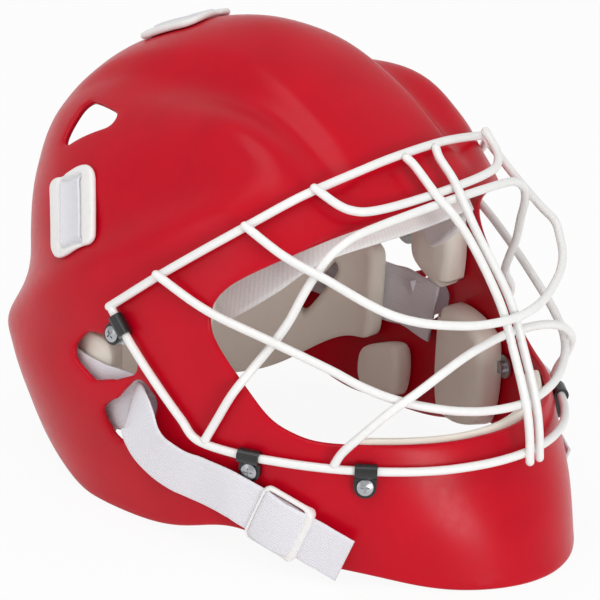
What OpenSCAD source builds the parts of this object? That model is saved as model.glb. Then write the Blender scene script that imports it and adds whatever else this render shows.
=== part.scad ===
// Field hockey goalkeeper helmet: moulded shell, welded wire cage, foam liner, webbing and fittings.
// +X is the wearer's left, -Y the face, +Z up. The origin is on the standing plane, below the ears.

/* [Shell] */
// Height of the crown above the standing plane
shell_h = 252; // [240:1:264]
// Half of the greatest width, at the ears
shell_half_w = 125; // [119:1:131]
// Reach of the chin guard ahead of the origin
chin_reach = 187; // [180:1:194]
// Reach of the back of the shell behind the origin
rear_reach = 158; // [152:1:164]
// Thickness of the moulded wall
shell_wall = 4; // [3:0.25:5]
// Rise of the raised band over the crown
band_rise = 4; // [2:0.5:5]
// Outward step of the ridge from the brow to the nape
ridge_rise = 3.5; // [1.5:0.5:4.5]
// Height of the arch in the rim between the chin and the ear lobe
rim_arch = 16; // [8:1:20]

/* [Openings] */
// Height of the brow edge of the face opening at the middle
brow_z = 187; // [183:1:190]
// Height of the chin edge of the face opening
chin_z = 77; // [74:1:79]
// Width of the opening at the back of the neck
nape_w = 100; // [84:2:112]
// Height of the top of the opening at the back of the neck
nape_z = 178; // [165:1:184]
// Corner radius of the vents
vent_r = 6; // [4:0.5:7]

/* [Cage] */
// Diameter of the cage wire with its coating
wire_d = 4.8; // [4:0.1:5.4]
// Gap between the two wires down the middle of the cage
centre_gap = 3.2; // [2:0.2:5]
// Gap between the cage frame and the shell
frame_gap = 2; // [1.8:0.1:2.6]

/* [Clips] */
// Width of a cage clip
clip_w = 12; // [9:0.5:14]
// Thickness of the clip strip
clip_t = 1.5; // [1:0.1:2]
// Diameter of the clip screws
screw_d = 4; // [3:0.1:5]
// Diameter of the screw heads
head_d = 8.8; // [8:0.1:10]

/* [Liner] */
// Thickness of the foam pads
pad_t = 18; // [12:1:22]
// Thickness of the sweatband
sweat_t = 6; // [4:0.5:8]
// Height of the sweatband
sweat_h = 36; // [28:1:40]
// Thickness of the nape cradle
cradle_t = 12; // [9:0.5:14]
// Height of the nape cradle at the back
cradle_h = 46; // [38:1:54]
// Thickness of the thin chin liner
chin_pad_t = 10; // [6:1:13]

/* [Webbing] */
// Width of the nape band
band_w = 36; // [30:1:38]
// Width of the loose strap ends
tail_w = 28; // [24:1:30]
// Thickness of the webbing
web_t = 1.8; // [1.2:0.1:2.2]
// Width of the strap in a strap plate
loop_w = 20; // [16:1:24]

/* [Strap plates] */
// Height of a strap plate
plate_h = 45; // [40:1:52]
// Width of a strap plate
plate_w = 38; // [34:1:44]
// Thickness of a strap plate
plate_t = 3.5; // [3:0.25:4.5]

/* [Sliders] */
// Length of a slider along the strap
slider_l = 32; // [28:1:36]
// Thickness of the slider bars
slider_bar = 3.2; // [2.6:0.1:3.6]

/* [Hidden] */
$fn = 32;

shell_red = "#c8102e";
wire_white = "#f4f4f2";
vinyl_black = "#1c1c1e";
zinc = "#b9bbbd";
foam_cream = "#d8d1c4";
towel_white = "#e6e6e6";
web_white = "#ececf2";
plastic_white = "#f0f0f0";

wire_r = wire_d / 2;
clear = 0.3;
RIGHT = 1;
LEFT = -1;

// Typed points are drawn for these sizes of the shell, and follow its own sizes from there
DRAWN_H = 252;
DRAWN_HALF_W = 125;
DRAWN_CHIN = 187;
DRAWN_REAR = 158;
DRAWN_BROW = 187;
DRAWN_CHIN_Z = 77;
function to_x(x) = x * shell_half_w / DRAWN_HALF_W;
function y_share(y) = y < 0 ? chin_reach / DRAWN_CHIN : rear_reach / DRAWN_REAR;
function to_y(y) = y * y_share(y);
function to_z(z) = z * shell_h / DRAWN_H;
// Height that keeps its share of the face opening, and one that keeps its share of the crown above the brow
function to_open(z) = chin_z + (z - DRAWN_CHIN_Z) * (brow_z - chin_z) / (DRAWN_BROW - DRAWN_CHIN_Z);
function to_crown(z) = brow_z + (z - DRAWN_BROW) * (shell_h - brow_z) / (DRAWN_H - DRAWN_BROW);
function side_point(p) = [to_y(p.x), to_z(p.y)];
function side_points(list) = [for (p = list) side_point(p)];
function space_point(p) = [to_x(p.x), to_y(p.y), to_z(p.z)];
function space_points(list) = [for (p = list) space_point(p)];

// Stations of the shell from the rim to the crown, as shares of the main sizes:
// height, front reach, rear reach, half width, front squareness, rear squareness
STATIONS = [
  [0.00, 1.00, 0.80, 0.91, 2.0, 2.4],
  [0.13, 0.945, 0.94, 0.965, 2.0, 2.5],
  [0.26, 0.855, 1.03, 1.00, 2.0, 2.6],
  [0.38, 0.77, 0.975, 0.985, 2.1, 2.6],
  [0.50, 0.69, 0.99, 0.955, 2.3, 2.5],
  [0.62, 0.60, 1.02, 0.89, 2.4, 2.4],
  [0.735, 0.495, 1.00, 0.79, 2.5, 2.25],
  [0.83, 0.34, 0.86, 0.635, 2.4, 2.1],
  [0.91, 0.18, 0.66, 0.44, 2.2, 2.0],
  [0.97, 0.01, 0.45, 0.24, 2.1, 2.0],
  [1.00, -0.18, 0.212, 0.00, 2.0, 2.0]
];
LAST = len(STATIONS) - 1;
mid_y = 20;
FOLD = [1, -rear_reach / chin_reach, -chin_reach / rear_reach, -1, 1, 1];
OVER = [0, 2, 1, 3, 4, 5];

// Stations past either end: a straight run below the rim, a mirrored run over the crown
function col(i, k) =
  i < 0 ? 2 * STATIONS[0][k] - STATIONS[1][k] :
  i > LAST ? FOLD[k] * STATIONS[LAST - 1][OVER[k]] : STATIONS[i][k];
function spline(a, b, c, d, t) =
  b + t * (c - a + t * (2 * a - 5 * b + 4 * c - d + t * (3 * (b - c) + d - a))) / 2;
function station(u, k) =
  let (s = u * LAST, i = max(0, min(floor(s), LAST - 1)), t = s - i)
  spline(col(i - 1, k), col(i, k), col(i + 1, k), col(i + 2, k), t);
function power(v, e) = sign(v) * pow(abs(v), e);
function smooth(v) = let (s = min(1, max(0, v))) s * s * (3 - 2 * s);
function bell(v, w) = exp(-v * v / (w * w));
function unit(v) = v / norm(v);
function mix(a, b, s) = a + (b - a) * s;

// Plain form of the shell: each level is a rounded oval, squarer at the brow and the nape
function plain(t, u) =
  let (
    f = station(u, 1) * chin_reach,
    b = station(u, 2) * rear_reach,
    c = mix(mid_y, (b - f) / 2, smooth((u - 0.8) / 0.2)),
    front = cos(t) > 0,
    e = 2 / station(u, front ? 4 : 5)
  )
  [-station(u, 3) * shell_half_w * power(sin(t), e), c - (front ? f + c : b - c) * power(cos(t), e),
    station(u, 0) * shell_h];
HEART = [0, mid_y, 0.44 * shell_h];
// Height of the ridge that climbs from the nape to the brow
function ridge_z(y) = 0.555 * shell_h - 0.68 * (y - 42);
function relief(p) =
  let (
    x = abs(p.x),
    top = smooth((p.z - 0.72 * shell_h) / 40),
    band = band_rise * top * (1 - smooth((x - 34) / 16)),
    crease = -1.2 * band_rise * top * bell(x - 52, 13) * (1 - smooth((p.y - 50) / 50)),
    temple = 11 * bell(x - to_x(70), to_x(20)) * bell(p.y - to_y(-20), 46) * bell(p.z - 0.86 * shell_h,
      to_z(24)),
    s = p.z - ridge_z(p.y),
    side = smooth((x - 60) / 40),
    ridge = ridge_rise * side * (bell(s, 13) - 0.8 * bell(s - 30, 18))
  )
  band + crease + temple + ridge;
function skin(t, u) = let (p = plain(t, u)) p + relief(p) * unit(p - HEART);
STEP_T = 1.5;
STEP_U = 0.006;
function normal(t, u) =
  unit(cross(skin(t, u + STEP_U) - skin(t, u - STEP_U), skin(t + STEP_T, u) - skin(t - STEP_T, u)));
// Point at an angle round from the face, at a level, and a distance out from the skin
function out(t, u, d) = skin(t, u) + d * normal(t, u);
function level(z, lo = 0, hi = 1, n = 14) =
  n == 0 ? (lo + hi) / 2 : let (m = (lo + hi) / 2) station(m, 0) * shell_h < z ? level(z, m, hi, n - 1)
    : level(z, lo, m, n - 1);
function at(t, z, d) = out(t, level(z), d);
// Angle at which the plain form passes a given y on the wearer's right
function angle(y, z) =
  let (u = level(z), f = station(u, 1) * chin_reach, b = station(u, 2) * rear_reach,
    c = mix(mid_y, (b - f) / 2, smooth((u - 0.8) / 0.2)),
    front = y < c, n = station(u, front ? 4 : 5),
    s = front ? (c - y) / (f + c) : (y - c) / (b - c))
  front ? acos(pow(min(1, s), n / 2)) : 180 - acos(pow(min(1, s), n / 2));
// Point at a given y and z on one side, a distance out from the skin
function beside(side, y, z, d) = let (p = at(angle(y, z), z, d)) [p.x * side, p.y, p.z];
function facing(side, y, z) = let (n = normal(angle(y, z), level(z))) [n.x * side, n.y, n.z];

// Height of the rim: flat at the chin and the ear lobes, arched at the jaw, rising to the nape
function rim_z(t) =
  let (a = abs(t > 180 ? t - 360 : t))
  rim_arch * bell(a - 67, 11) + 0.3 * rim_arch * bell(a - 46, 12) + 2 * rim_arch * smooth((a - 100) / 45);
function rim_u(t) = level(rim_z(t));

module skin_solid(steps_t, steps_u, depth, drop) {
  ring = [for (i = [0:steps_u - 1]) for (j = [0:steps_t - 1])
    let (t = j * 360 / steps_t, u = mix(rim_u(t), 1, i / steps_u)) depth == 0 ? skin(t, u) : out(t, u,
      -depth)];
  foot = [for (j = [0:steps_t - 1]) ring[j] - [0, 0, drop]];
  n = steps_t * steps_u;
  points = concat(ring, foot, [depth == 0 ? skin(0, 1) : skin(0, 1) - [0, 0, depth], [0, mid_y, -drop]]);
  // The quads are split along the ridge, so that its line stays smooth
  walls = [for (i = [0:steps_u - 2]) for (j = [0:steps_t - 1])
    let (k = (j + 1) % steps_t, a = i * steps_t + j, b = i * steps_t + k, c = b + steps_t, d = a + steps_t)
    each j < steps_t / 2 ? [[a, b, d], [b, c, d]] : [[a, b, c], [a, c, d]]];
  crown = [for (j = [0:steps_t - 1]) let (k = (j + 1) % steps_t)
    [(steps_u - 1) * steps_t + j, (steps_u - 1) * steps_t + k, n + steps_t]];
  hem = [for (j = [0:steps_t - 1]) let (k = (j + 1) % steps_t) each [[n + j, k, j], [n + j, n + k, k]]];
  base = [for (j = [0:steps_t - 1]) let (k = (j + 1) % steps_t) [n + k, n + j, n + steps_t + 1]];
  polyhedron(points, concat(walls, crown, base, hem));
}

// Outline of the face opening seen from the side, as y and z
FACE = [for (p = [[-260, brow_z + 1], [-93, brow_z], [-83, brow_z - 5], [-69, brow_z - 15], [-50,
  brow_z - 29],
  [-40, brow_z - 38], [-35, brow_z - 47], [-35, brow_z - 55], [-40, brow_z - 66], [-60, chin_z + 22],
  [-74, chin_z + 8], [-86, chin_z + 2], [-100, chin_z - 1], [-130, chin_z], [-260, chin_z
    + 2]]) [to_y(p.x), p.y]];
module face_cut() rotate([90, 0, 90]) linear_extrude(2 * shell_half_w + 40, center = true) polygon(FACE);
module nape_cut() {
  translate([0, 0, -30]) rotate([-90, 0, 0]) mirror([0, 1, 0]) linear_extrude(300) hull() {
    translate([-nape_w / 2, 0]) square([nape_w, 60]);
    for (x = [-1, 1]) translate([x * (nape_w / 2 - 26), nape_z + 4]) circle(26);
  }
}
// A vent through the wall: a hull of round corners driven along the skin's normal
module vent(side, corners, r) hull() for (c = corners) {
  n = facing(side, c.x, c.y);
  p = beside(side, c.x, c.y, 0);
  multmatrix(frame(p, n, [0, 0, 1])) cylinder(h = 26, r = r, center = true, $fn = 16);
}
// Matrix that puts local z along a normal and local y as near as can be to a given up
function frame(p, n, up) =
  let (x = unit(cross(up, n)), y = cross(n, x))
  [[x.x, y.x, n.x, p.x], [x.y, y.y, n.y, p.y], [x.z, y.z, n.z, p.z], [0, 0, 0, 1]];

UPPER_VENT = side_points([[104, 188], [106, 200], [81, 203]]);
EAR_VENT = side_points([[48, 88], [42, 95], [14, 98], [13, 93], [36, 83]]);
JAW_VENT = side_points([[22, 60], [3, 80], [-3, 76], [-2, 70], [16, 53]]);

// Seats of the three strap plates
SIDE_PLATE_Y = to_y(76);
SIDE_PLATE_Z = to_z(158);
side_plate_lean = [0, 16, 30];
function plate_point(y, z) = beside(RIGHT, SIDE_PLATE_Y + y, SIDE_PLATE_Z + z, 0);
side_plate_n = unit(cross(plate_point(-16, 12) - plate_point(16, -12), plate_point(10,
  17) - plate_point(-10, -17)));
// Highest point of the shell under a side plate, above the plate's seat
side_rise = max([for (y = [-18:9:18]) for (z = [-22:11:22]) (plate_point(y, z) - plate_point(0, 0))
  * side_plate_n]);
top_plate_z = 0.93 * shell_h;
function plate_frame(side) =
  side == 0 ? frame(at(180, top_plate_z, 0), normal(180, level(top_plate_z)), [0, -1, 0.4]) :
  frame(beside(side, SIDE_PLATE_Y, SIDE_PLATE_Z, 0), [side_plate_n.x * side, side_plate_n.y,
    side_plate_n.z], side_plate_lean);
slot_gap = plate_h - 14;
slot_h = web_t + 2 * clear + 0.6;

// Frame plane of the cage: it climbs from the jaw corner to the brow
corner_y = 24;
corner_z = 124;
frame_slope = 0.86;
frame_off = wire_r + frame_gap;
function frame_z(y) = to_z(corner_z - frame_slope * (y / y_share(y) - corner_y));
// Level at which the frame plane meets the skin at an angle
function frame_u(t, u = 0.65, n = 12) = n == 0 ? u : frame_u(t, mix(u, level(frame_z(skin(t, u).y)), 0.6),
  n - 1);
function frame_point(t, d) = out(t, frame_u(t), d);
// The frame stands further off the shell toward the middle
function stand(t, from, more) = frame_off + more * max(0, 1 - t / from);
RIM_ANGLES = [92, 84, 76, 68, 60, 51, 42, 20, 10];
rim_path = concat([for (t = RIM_ANGLES) frame_point(t, stand(t, 60, 2.5))], [frame_point(0, frame_off
  + 2.5)]);
module rim_wire() color(wire_white) wire(path(whole(rim_path), 2));

jaw_z = to_z(64);
JAW_BAR = [side_point([22.6, 119.2]), [to_y(-42), jaw_z]];
function jaw_side(s) = let (a = mix(JAW_BAR[0], JAW_BAR[1], s)) beside(RIGHT, a.x, a.y, frame_off);
function jaw_point(t, d) = at(t, jaw_z, d);
jaw_corner = jaw_side(1);
JAW_ANGLES = [63, 57, 50, 43, 36, 28, 20, 10, 0];
jaw_path = concat([for (k = [0:6]) jaw_side(k * 0.16)], [for (t = JAW_ANGLES) jaw_point(t, stand(t, 34, 4))]);

// Clip frames: origin on the skin below the wire, x along the wire, z outward, the screw toward -y
clip_bore = wire_r + 0.2;
clip_reach = clip_bore + clip_t + head_d / 2 + 0.4;
JAW_CLIPS = [to_y(-68), to_y(-121)];
function jaw_along(y) = jaw_point(angle(y, jaw_z), frame_off);
clip_wire = concat([[jaw_side(0), jaw_side(0.09), jaw_side(0.18)]],
  [for (y = JAW_CLIPS) [jaw_along(y + 6), jaw_along(y), jaw_along(y - 6)]]);
function clip_frame(i) =
  let (w = clip_wire[i], x = unit(w[2] - w[0]), n = facing(RIGHT, w[1].y, w[1].z), z = unit(n - (n * x)
    * x), y = cross(z, x),
    p = w[1] - frame_off * z)
  [[x.x, y.x, z.x, p.x], [x.y, y.y, z.y, p.y], [x.z, y.z, z.z, p.z], [0, 0, 0, 1]];
module at_clips() for (side = [RIGHT, LEFT]) on_side(side) for (i = [0:2]) multmatrix(clip_frame(i)) children();
module on_side(side) mirror([side == LEFT ? 1 : 0, 0, 0]) children();
module screw_holes() at_clips() translate([0, -clip_reach, 0]) cylinder(h = 30, r = screw_d / 2 + 0.15,
  center = true, $fn = 20);

module shell() color(shell_red) difference() {
  skin_solid(66, 26, 0, 0);
  skin_solid(44, 17, shell_wall, 40);
  face_cut();
  nape_cut();
  for (side = [RIGHT, LEFT]) {
    vent(side, UPPER_VENT, vent_r);
    vent(side, EAR_VENT, vent_r + 1);
    vent(side, JAW_VENT, vent_r + 1);
  }
  for (side = [-1, 0, 1]) multmatrix(plate_frame(side)) hull() strap_slot(1);
  for (side = [-1, 0, 1]) multmatrix(plate_frame(side)) hull() strap_slot(-1);
  screw_holes();
}
module strap_slot(end) translate([0, end * slot_gap / 2, 0])
  cube([loop_w + 2 * clear + 0.6, slot_h + 1, 24], center = true);

// Smooth path through hand-chosen points, with n steps between neighbours
function pick(p, i) = i < 0 ? 2 * p[0] - p[1] : i >= len(p) ? 2 * p[len(p) - 1] - p[len(p) - 2] : p[i];
function path(p, n) = concat([for (i = [0:len(p) - 2]) for (k = [0:n - 1])
  spline(pick(p, i - 1), pick(p, i), pick(p, i + 1), pick(p, i + 2), k / n)], [p[len(p) - 1]]);
function flip(p) = [for (i = [len(p) - 1:-1:0]) [-p[i].x, p[i].y, p[i].z]];
function whole(p) = concat(p, flip([for (i = [0:len(p) - 2]) p[i]]));

// Round wire swept along points, with rounded ends
module wire(p, r = wire_r, sides = 8) {
  n = len(p);
  dir = [for (i = [0:n - 1]) unit(p[min(i + 1, n - 1)] - p[max(i - 1, 0)])];
  ref = [0.31, 0.17, 0.94];
  e1 = [for (d = dir) unit(cross(d, abs(d * ref) > 0.9 ? [1, 0, 0] : ref))];
  e2 = [for (i = [0:n - 1]) cross(dir[i], e1[i])];
  stops = concat([[0, -0.9 * r, 0.5], [0, -0.45 * r, 0.86]], [for (i = [0:n - 1]) [i, 0, 1]],
    [[n - 1, 0.45 * r, 0.86], [n - 1, 0.9 * r, 0.5]]);
  m = len(stops);
  rings = [for (s = stops) for (k = [0:sides - 1]) let (a = 360 * (k + 0.5) / sides)
    p[s[0]] + s[1] * dir[s[0]] + r * s[2] * (cos(a) * e1[s[0]] + sin(a) * e2[s[0]])];
  walls = [for (i = [0:m - 2]) for (k = [0:sides - 1]) let (j = (k + 1) % sides)
    each [[i * sides + k, (i + 1) * sides + k, (i + 1) * sides + j], [i * sides + k, (i + 1) * sides + j,
      i * sides + j]]];
  first = [for (k = [1:sides - 2]) [0, k, k + 1]];
  last = [for (k = [1:sides - 2]) [(m - 1) * sides, (m - 1) * sides + k + 1, (m - 1) * sides + k]];
  polyhedron(rings, concat(walls, first, last));
}

module jaw_wire() color(wire_white) wire(path(whole(jaw_path), 2));

// The eye wire leaves the shell at the edge of the opening and ends at the height of the frame
function eye_points(list) = [for (p = list) [to_x(p.x), to_y(p.y), mix(to_open(p.z), to_z(p.z),
  smooth((p.z - 97) / 60))]];
// Inner points of the cage wires on the wearer's right, from the frame to the middle plane
BROW = space_points([[-65, -79, 197.5], [-59, -85, 194.5], [-51, -89, 193.5], [-36, -92, 193.4], [-16,
  -93.7, 193.6],
  [0, -94.1, 193.6]]);
EYE = eye_points([[-103, -62, 112], [-97.8, -68, 124], [-94, -75, 138], [-90, -80, 153], [-86, -85, 166],
  [-79, -88.5, 176],
  [-66, -92, 183.5], [-48, -95.5, 187], [-24, -98, 189], [0, -98.8, 189.7]]);
UPPER = space_points([[-95, -69.5, 173.5], [-87.5, -94, 165.5], [-84, -108, 161], [-78, -117, 156], [-70,
  -126, 151], [-59, -134, 147],
  [-46, -140.5, 144], [-30, -147, 141.5], [-15, -151, 140.5], [0, -152.2, 140]]);
LOWER = space_points([[-115.5, -36, 137.5], [-101.8, -69.6, 127.2], [-88, -100, 117], [-81, -115, 111],
  [-72, -129, 106], [-60, -141, 102],
  [-43, -152, 98], [-24, -159.5, 95.5], [0, -162.9, 94.3]]);
CHIN_BAR = space_points([[-90, -116, 76], [-87, -122, 85], [-77, -132, 99], [-64, -140, 110],
  [-50, -145, 119], [-34, -147.5, 125.5], [-16, -148.5, 129], [0, -148.6, 130]]);
CENTRE = space_points([[-5, -97, 197], [0, -117, 178], [0, -142.5, 148], [0, -155.5, 122], [0, -166, 97],
  [0, -170.3, 80],
  [0, -172.8, 60]]);

// Centre of a wire welded to the side of another, seen along a way
function weld(p, way) = p + (wire_d - 0.4) * unit(way);
brow_start = weld(frame_point(43, stand(43, 60, 2.5)), [0, -0.6, -0.7]);
upper_start = frame_point(61, frame_off + 2 + wire_r);
lower_start = frame_point(80, frame_off + 1.6 + wire_r);
eye_low = [jaw_corner + [0, -2, 4], beside(RIGHT, to_y(-49), to_open(80), frame_off),
  beside(RIGHT, to_y(-56), to_open(97), frame_off + 0.6)];
chin_start = jaw_point(angle(to_y(-111), jaw_z), frame_off);
bar_x = (wire_d + centre_gap) / 2;
function bar_path(side) = concat(space_points([[-12 * side, -79.2, 211.6], [-10 * side, -84, 207.5]]),
  [for (p = CENTRE) [(p.x - bar_x) * side, p.y, p.z]]);
module brow_wire() color(wire_white) wire(path(whole(concat([brow_start], BROW)), 2));
module eye_wire() color(wire_white) wire(path(whole(concat(eye_low, EYE)), 1));
module upper_wire() color(wire_white) wire(path(whole(concat([upper_start], UPPER)), 1));
module lower_wire() color(wire_white) wire(path(whole(concat([lower_start], LOWER)), 1));
module chin_wire() color(wire_white) wire(path(whole(concat([chin_start + [0, -1, 3]], CHIN_BAR)), 1));
module centre_wire_right() color(wire_white) wire(path(bar_path(RIGHT), 2));
module centre_wire_left() color(wire_white) wire(path(bar_path(LEFT), 2));

// P-clips, screws and tee nuts, each set drawn in the frame of its screw
layer = 2 * clip_t;
head_h = 2.2;
nut_r = 7;
nut_t = 1.4;
module clip() difference() {
  union() {
    translate([0, 0, frame_off]) rotate([0, 90, 0]) cylinder(h = clip_w, r = clip_bore + clip_t,
      center = true);
    translate([-clip_w / 2, -clip_reach, clear]) cube([clip_w, clip_reach, layer]);
    translate([0, -clip_reach, clear]) cylinder(h = layer, r = clip_w / 2);
  }
  translate([0, 0, frame_off]) rotate([0, 90, 0]) cylinder(h = clip_w + 2, r = clip_bore, center = true);
  translate([0, -clip_reach, 0]) cylinder(h = 40, r = screw_d / 2 + 0.1, center = true);
}
module screw() translate([0, -clip_reach, 0]) difference() {
  union() {
    translate([0, 0, clear + layer + 0.05]) intersection() {
      cylinder(h = head_h, r = head_d / 2);
      translate([0, 0, head_h - head_d]) sphere(r = head_d);
    }
    translate([0, 0, -shell_wall - 5.5]) cylinder(h = shell_wall + 5.5 + clear + layer + 0.3,
      r = screw_d / 2);
  }
  for (a = [0, 90]) rotate(a) translate([0, 0, clear + layer + head_h]) cube([0.55 * head_d, 1, 2.2],
    center = true);
}
nut_seat = shell_wall + 1.1;
module nut() translate([0, -clip_reach, 0]) difference() {
  union() {
    translate([0, 0, -nut_seat - nut_t]) cylinder(h = nut_t, r = nut_r);
    translate([0, 0, -nut_seat - 4.4]) cylinder(h = 4, r = screw_d / 2 + 1.6);
  }
  cylinder(h = 60, r = screw_d / 2 + 0.05, center = true);
}
module nut_pocket(i) multmatrix(clip_frame(i)) translate([0, -clip_reach, -nut_seat - 4.4]) cylinder(h = 8,
  r = nut_r + 1);
module cage_clips() color(vinyl_black) at_clips() clip($fn = 16);
module clip_screws() color(zinc) at_clips() screw($fn = 14);
module tee_nuts() color(zinc) at_clips() nut($fn = 14);

// Foam pad: a crowned patch inside the wall. place(v, d) gives a point, q its four corners.
function corner(q, a, b) = mix(mix(q[0], q[1], a), mix(q[3], q[2], a), b);
function turned(v, c) = [v.x * sqrt(1 - c * v.y * v.y), v.y * sqrt(1 - c * v.x * v.x)];
function crown(v, edge) = edge + (1 - edge) * sqrt(max(0, (1 - pow(v.x, 4)) * (1 - pow(v.y, 4))));
function groove(v, cuts) = len(cuts) == 0 ? 0 : max([for (c = cuts) bell((c[1] == 0 ? v.x : v.y) - c[0],
  0.12)]);
module pad(place, q, d, t, n = 8, m = 6, round = 0.25, cuts = [], edge = 0.45) {
  grid = [for (j = [0:m]) for (i = [0:n]) let (v = [2 * i / n - 1, 2 * j / m - 1], w = (turned(v, round)
    + [1, 1]) / 2)
    [corner(q, w.x, w.y), v]];
  back = [for (g = grid) place(g[0], d)];
  face = [for (g = grid) place(g[0], d + t * crown(g[1], edge) * (1 - 0.3 * groove(g[1], cuts)))];
  k = (n + 1) * (m + 1);
  skin_faces = [for (j = [0:m - 1]) for (i = [0:n - 1]) let (a = j * (n + 1) + i, b = a + n + 1)
    each [[a, b + 1, b], [a, a + 1, b + 1], [k + a, k + b, k + b + 1], [k + a, k + b + 1, k + a + 1]]];
  loop = concat([for (i = [0:n]) i], [for (j = [1:m]) j * (n + 1) + n], [for (i = [n - 1:-1:0]) m * (n
    + 1) + i],
    [for (j = [m - 1:-1:1]) j * (n + 1)]);
  sides = [for (i = [0:len(loop) - 1]) let (a = loop[i], b = loop[(i + 1) % len(loop)]) each [[a, k + b,
    b], [a, k + a, k + b]]];
  polyhedron(concat(back, face), concat(skin_faces, sides));
}
on_flank = function (v, d) beside(RIGHT, v.x, v.y, -d);
on_front = function (v, d) at(v.x, v.y, -d);
seat = shell_wall + clear + 0.5;
brow_seat = seat + 0.7;
liner_seat = seat + 1.2;

TEMPLE = side_points([[-27, 84], [9, 100], [6, 152], [-29, 148]]);
CHEEK = side_points([[-68, 15], [-26, 8], [-14, 82], [-66, 75]]);
EAR = side_points([[6, 7], [38, 6], [44, 30], [12, 42]]);
LINER = side_points([[-22, 157], [52, 140], [56, 176], [-14, 200]]);
BROW_PAD = [[-50, to_crown(190)], [50, to_crown(190)], [50, to_crown(209)], [-50, to_crown(209)]];
CHIN = [[-42, chin_z - 55], [42, chin_z - 55], [42, chin_z - 4], [-42, chin_z - 4]];

module temple_pad(side) color(foam_cream) on_side(side) pad(on_flank, TEMPLE, seat, pad_t, cuts = [[0, 1]]);
module cheek_pad(side) color(foam_cream) on_side(side) difference() {
  pad(on_flank, CHEEK, seat, pad_t, cuts = [[0, 1]]);
  nut_pocket(1);
}
module ear_pad(side) color(foam_cream) on_side(side) pad(on_flank, EAR, seat, pad_t - 2, 6, 6);
module liner_pad(side) color(foam_cream) on_side(side) pad(on_flank, LINER, liner_seat, pad_t - 6, 10, 6,
  cuts = [[0, 0]]);
module brow_pad() color(foam_cream) pad(on_front, BROW_PAD, brow_seat, pad_t - 6, 16, 5, 0.12);

// Towelling sweatband over the brow pad: it drops at both ends to hang over the temple pads
SWEAT_END = 79;
function sweat_low(t) = brow_z - 7 - to_z(66) * pow(abs(t) / SWEAT_END, 2.6);
function sweat_depth(t) = brow_seat + pad_t - 6 + 3 * clear + 7 * smooth((abs(t) - 38) / 22);
on_brow = function (v, d) at(v.x, mix(sweat_low(v.x), sweat_low(v.x) + sweat_h, v.y), -sweat_depth(v.x) - d);
module sweatband() color(towel_white)
  pad(on_brow, [[-SWEAT_END, 0], [SWEAT_END, 0], [SWEAT_END, 1], [-SWEAT_END, 1]], 0, sweat_t, 28, 4, 0.06,
    edge = 0.6);
module chin_pad() color(foam_cream) difference() {
  pad(on_front, CHIN, seat + 0.3, chin_pad_t, 16, 6, 0.15, cuts = [[0, 0]]);
  for (side = [RIGHT, LEFT]) on_side(side) nut_pocket(2);
}
// Horseshoe over the crown, open at the back for the top strap plate
CROWN = [[-112, to_crown(222)], [112, to_crown(222)], [112, to_crown(246)], [-112, to_crown(246)]];
module crown_pad() color(foam_cream) pad(on_front, CROWN, brow_seat, pad_t - 8, 24, 4, 0.1, cuts = [[-0.55,
  0], [0, 0], [0.55, 0]]);

// Nape cradle: a padded C from ear to ear, hung low behind the neck, with a strap slot at each side
CRADLE = [shell_half_w - 10.6, to_y(78)];
cradle_y = to_y(42);
cradle_end = 100;
function cradle_low(a) = to_z(9 + 28 * smooth((abs(a) - 40) / 46));
function cradle_top(a) = cradle_low(0) + cradle_h + 6 + to_z(36) * smooth((abs(a) - 30) / 50);
function cradle_at(a, z, d) = [(CRADLE.x - d) * sin(a), cradle_y + (CRADLE.y - d) * cos(a), z];
on_cradle = function (v, d) cradle_at(v.x, mix(cradle_low(v.x), cradle_top(v.x), v.y), d);
SLOT = [[60, to_z(50)], [73, to_z(76)]];
module nape_cradle() color(foam_cream) difference() {
  pad(on_cradle, [[-cradle_end, 0], [cradle_end, 0], [cradle_end, 1], [-cradle_end, 1]], 0, cradle_t, 26,
    5, 0.06, edge = 0.6);
  for (side = [RIGHT, LEFT]) hull() for (c = SLOT)
    multmatrix(frame(cradle_at(-side * c.x, c.y, 0), [-side * sin(c.x), cos(c.x), 0], [0, 0,
      1])) cylinder(h = 60, r = 6, center = true, $fn = 16);
}

// Flat webbing along points; across gives the way of its width at each point
module ribbon(p, across, w, t = web_t) {
  n = len(p);
  dir = [for (i = [0:n - 1]) unit(p[min(i + 1, n - 1)] - p[max(i - 1, 0)])];
  up = [for (i = [0:n - 1]) unit(cross(dir[i], across[i]))];
  wide = [for (i = [0:n - 1]) cross(up[i], dir[i])];
  edge = [[-0.5, -0.2], [-0.5, 0.2], [-0.47, 0.5], [0.47, 0.5], [0.5, 0.2], [0.5, -0.2], [0.47, -0.5],
    [-0.47, -0.5]];
  s = len(edge);
  points = [for (i = [0:n - 1]) for (e = edge) p[i] + w * e.x * wide[i] + t * e.y * up[i]];
  walls = [for (i = [0:n - 2]) for (k = [0:s - 1]) let (j = (k + 1) % s)
    each [[i * s + k, i * s + j, (i + 1) * s + j], [i * s + k, (i + 1) * s + j, (i + 1) * s + k]]];
  first = [for (k = [1:s - 2]) [0, k + 1, k]];
  last = [for (k = [1:s - 2]) [(n - 1) * s, (n - 1) * s + k, (n - 1) * s + k + 1]];
  polyhedron(points, concat(walls, first, last));
}
band_depth = seat + web_t / 2 + 2.8;
over_band = band_depth + web_t / 2 + clear;
BAND = side_points([[20, 67], [32, 66], [45, 66], [58, 67], [72, 68], [86, 70], [100, 72], [110, 74]]);
function wall_up(y, z) = unit(beside(RIGHT, y, z + 14, 0) - beside(RIGHT, y, z - 14, 0));
band_half = concat([for (a = BAND) beside(RIGHT, a.x, a.y, -band_depth)], 
  [for (a = [[150, 81.1, 13], [167.6, 83.8, 14.7], [180, 84.7, 14.6]]) at(a.x, to_z(a.y), -a.z)]);
band_lean = path(concat([for (a = BAND) wall_up(a.x, a.y)], [[0, 0, 1], [0, 0, 1], [0, 0, 1]]), 2);
band_path = whole(band_half);
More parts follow.
